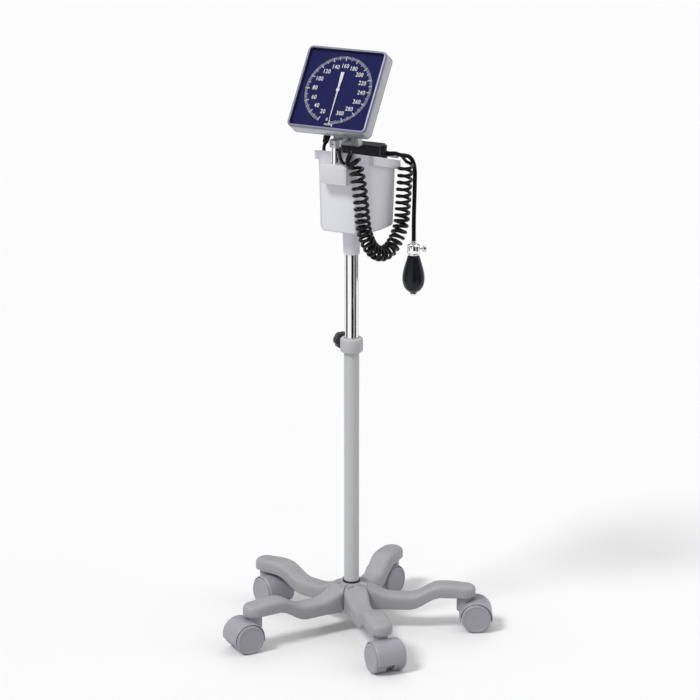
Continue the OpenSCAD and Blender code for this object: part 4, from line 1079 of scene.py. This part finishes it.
def make_cuff():
    cuff = ribbon("cuff_body", CUFF_PLAN, CUFF_LOW, CUFF_HIGH)
    steps = [1.2, 5.4, 6.6, 12, 22, 45]
    loops_at(cuff, [CUFF_LOW + s for s in steps] + [CUFF_HIGH - s for s in steps] + [763])

    def fullness(place):
        edge = min(place.z - CUFF_LOW, CUFF_HIGH - place.z)
        ridge = 0.05 * noise.noise(Vector((place.x * 0.09, place.y * 0.3, place.z * 0.05)))
        return min(1.0, 0.62 + 0.36 * smooth((edge - 6) / 12) + ridge)

    thicken(cuff, 7.2, fullness)
    tidy_mesh(cuff)
    finish_with(cuff, "BEVEL", width=0.0011, segments=2, limit_method="ANGLE", angle_limit=math.radians(60))
    finish_with(cuff, "SUBSURF", levels=1, render_levels=1)
    for vertex in cuff.data.vertices:
        place = vertex.co / MM
        rise = smooth((place.z - 800) / 30)
        vertex.co.z += 0.0007 * rise * noise.noise(Vector((place.x * 0.06, place.y * 0.2, 3.0)))
        vertex.co.y += 0.0003 * noise.noise(Vector((place.x * 0.05, place.z * 0.04, place.y * 0.4)))
    hang(shade(cuff, 60), "column", "cuff_cloth", "cuff")
    for label, low, high in (("tape_top", CUFF_HIGH - 5.6, CUFF_HIGH + 0.35), ("tape_bottom", CUFF_LOW - 0.3, CUFF_LOW + 5.6)):
        tape = ribbon(label, CUFF_PLAN, low, high)
        loops_at(tape, [low + 0.6, high - 0.6])
        thicken(tape, 5.3, lambda place: 1.0)
        finish_with(tidy_mesh(tape), "BEVEL", width=0.0011, segments=3, limit_method="ANGLE",
                    angle_limit=math.radians(60))
        hang(shade(tape, 60), "column", "tape_cloth")


# Valve and bulb
def make_bulb_set():
    here = move(*BULB_DROP) @ turn("X", 180)
    valve = turned("valve", [(3.9, 0), (4.5, 0.4), (4.7, 3), (4.7, 3.4), (5.5, 3.8), (5.6, 5.6), (6.6, 6.2), (9.4, 6.9),
                             (10.2, 7.7), (10.5, 8.8), (10.5, 19.4), (9.9, 20.3), (9.1, 20.7), (9.1, 21.4), (9.6, 21.7),
                             (9.6, 23.2), (9.2, 23.8)], 96)
    side = settle(turned("side_port", [(4.6, 0), (4.6, 12.6), (4.2, 13.2), (3.9, 13.3), (3.9, 14.5)], 48),
                  move(0, 0, 13) @ turn("Z", -30) @ turn("Y", 90))
    fuse(valve, side)
    cut(valve, settle(turned("knob_bore", [(1.56, 4), (1.56, 30)], 24), move(0, 0, 13) @ turn("Z", -30) @ turn("Y", 90)))
    soften(tidy_mesh(valve), 0.25, 2, 35)
    hang(shade(settle(valve, here), 35), "column", "chrome", "valve_body")
    knob = turned("valve_wheel", [(4.9, 14.9), (5.6, 15.2), (5.8, 15.8), (5.8, 20), (5.5, 20.6), (4.6, 20.9), (1, 20.9)], 72)
    pick(knob, "FACE", lambda f: abs(f.normal.z) < 0.1 and 15.8 < middle(f).z < 20 and round(
        math.degrees(math.atan2(middle(f).y, middle(f).x)) / 5 - 0.5) % 2 == 0)
    bpy.ops.mesh.inset(thickness=0.00006, depth=-0.0003, use_individual=True)
    done()
    fuse(knob, turned("valve_stem", [(1.5, 11), (1.5, 15.5)], 24))
    hang(shade(settle(knob, move(*BULB_DROP) @ move(0, 0, -13) @ turn("Z", 30) @ turn("Y", 90)), 30), "valve_knob", "chrome",
         "valve_knob")
    shape = [(0, 0.53), (0.04, 0.555), (0.1, 0.61), (0.2, 0.71), (0.3, 0.82), (0.4, 0.91), (0.5, 0.97), (0.56, 0.99),
             (0.62, 1), (0.7, 0.98), (0.78, 0.915), (0.84, 0.83), (0.89, 0.72), (0.93, 0.59), (0.955, 0.46),
             (0.97, 0.36), (1, 0.33)]
    bulb = turned("bulb_body", [(18.4 * r, 64 * t) for t, r in shape], 72)
    finish_with(bulb, "SUBSURF", levels=1, render_levels=1)
    for vertex in bulb.data.vertices:
        reach = math.hypot(vertex.co.x, vertex.co.y)
        seam = math.exp(-(vertex.co.y / 0.0006) ** 2) * smooth((reach - 0.008) / 0.004)
        vertex.co.x *= 1 + 0.018 * seam
    hang(shade(settle(bulb, here @ move(0, 0, 24.3)), 60), "column", "bulb_rubber", "bulb")
    cap = turned("air_valve", [(4.9, 0), (5.4, 0.4), (5.4, 2.8), (4.9, 3.7), (4.2, 4.2), (1.9, 4.4), (1.5, 4.2),
                               (1.4, 2.6)], 64)
    hang(shade(settle(cap, here @ move(0, 0, 88.4)), 35), "column", "chrome", "end_valve")


make_collar()
make_knob()
make_basket()
make_holder()
make_bracket()
make_frame()
make_housing()
make_dial_print()
make_needle()
make_elbow()
make_cuff()
make_bulb_set()


# Light and floor
def seen_rays(finish):
    """1 for what the camera sees, straight or in metal and glass, and 0 for light on its way."""
    rays = [finish.node("LightPath", {}, {}, f"Is {kind} Ray") for kind in ("Camera", "Glossy", "Transmission")]
    return finish.math_of("MAXIMUM", finish.math_of("MAXIMUM", rays[0], rays[1]), rays[2])


def board(name, toward, rise, wide, tall, far, height, tone=0.01):
    """A dark studio board that only glossy surfaces see, in metres, facing a point over the origin."""
    drop()
    bpy.ops.mesh.primitive_plane_add(size=1, rotation=(math.radians(90), 0, 0))
    sheet = made(name)
    sheet.scale = (wide, tall, 1)
    settle(sheet)
    settle(sheet, Matrix.Translation((0, 0, height)) @ turn("Z", toward) @ turn("X", -rise)
           @ Matrix.Translation((0, -far, 0)))
    finish = Finish(name, base_color=(tone, tone, tone), roughness=1.0, specular_ior_level=0.0)
    sheet.data.materials.append(finish.mat)
    for kind in ("camera", "diffuse", "shadow", "transmission", "volume_scatter"):
        setattr(sheet, f"visible_{kind}", False)


def make_studio():
    drop()
    bpy.ops.mesh.primitive_plane_add(size=60, location=(0, 0, 0))
    floor = made("floor")
    finish = Finish("floor", roughness=0.95, specular_ior_level=0.1)
    grey = finish.noise(3, 2)
    near = finish.blend(grey, (0.91, 0.91, 0.915), (0.93, 0.93, 0.935))
    finish.feed(base_color=finish.blend(seen_rays(finish), (0.60, 0.60, 0.61), near))
    floor.data.materials.append(finish.mat)
    for name, toward, height, strength, soft in (("key", -24, 50, 1.7, 16), ("fill", 112, 34, 0.38, 50),
                                                 ("back", 205, 45, 0.4, 40)):
        lamp = bpy.data.lights.new(name, "SUN")
        lamp.energy, lamp.angle = strength, math.radians(soft)
        light = bpy.data.objects.new(name, lamp)
        bpy.context.scene.collection.objects.link(light)
        a, e = math.radians(toward), math.radians(height)
        from_here = Vector((math.sin(a) * math.cos(e), -math.cos(a) * math.cos(e), math.sin(e)))
        light.rotation_euler = (-from_here).to_track_quat("-Z", "Y").to_euler()
    board("front_board", 39, 0, 0.74, 1.3, 1.25, 0.65)
    board("grey_board", 75, 0, 0.86, 1.3, 1.3, 0.65, 0.42)
    board("right_board", 105, 0, 0.5, 1.3, 1.25, 0.65)
    board("left_board", -63, 0, 0.8, 1.3, 1.25, 0.65)
    board("back_board", 208, 0, 1.6, 1.3, 1.25, 0.65)
    board("high_board", -5, 50, 3.2, 0.9, 1.6, 0.93)
    world = bpy.data.worlds.new("studio")
    bpy.context.scene.world = world
    world.use_nodes = True
    nodes, links = world.node_tree.nodes, world.node_tree.links
    background, rays = nodes["Background"], nodes.new("ShaderNodeLightPath")
    background.inputs["Color"].default_value = (1, 1, 1, 1)
    dim = nodes.new("ShaderNodeMapRange")
    dim.inputs["To Min"].default_value, dim.inputs["To Max"].default_value = 0.96, 0.49
    links.new(rays.outputs["Is Diffuse Ray"], dim.inputs["Value"])
    links.new(dim.outputs["Result"], background.inputs["Strength"])
    bpy.context.scene.view_settings.view_transform = "Standard"


make_studio()

for node, slot in (("column_seal", "black_rubber"), ("foot_bolt", "bright_steel"), ("foot_insert", "bright_steel"),
                   ("lower_tube", "tube_paint"), ("collar_bush", "guide_plastic"), ("upper_tube", "chrome"),
                   ("tube_guide", "guide_plastic"), ("sleeve_screw", "bright_steel"),
                   ("holder_screws", "bright_steel"), ("gauge_post", "chrome"), ("tilt_bolt", "bright_steel"),
                   ("case_screws", "bright_steel"), ("pinion", "brass"), ("sector_gear", "brass"),
                   ("movement_frame", "brass"), ("capsule", "brass"), ("inlet_pipe", "brass"),
                   ("window", "clear_cover"), ("dial", "dial_blue"), ("cuff_connector", "chrome")):
    dress(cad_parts[node], slot)
for i in range(1, 6):
    dress(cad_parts[f"caster_{i}_pins"], "bright_steel")

coil_start * MM
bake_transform(lead)
coil_start * MM
length_of(coil_path)
length_of(lead_path)
[p * MM for p in lead_path]
length_of(bulb_path)
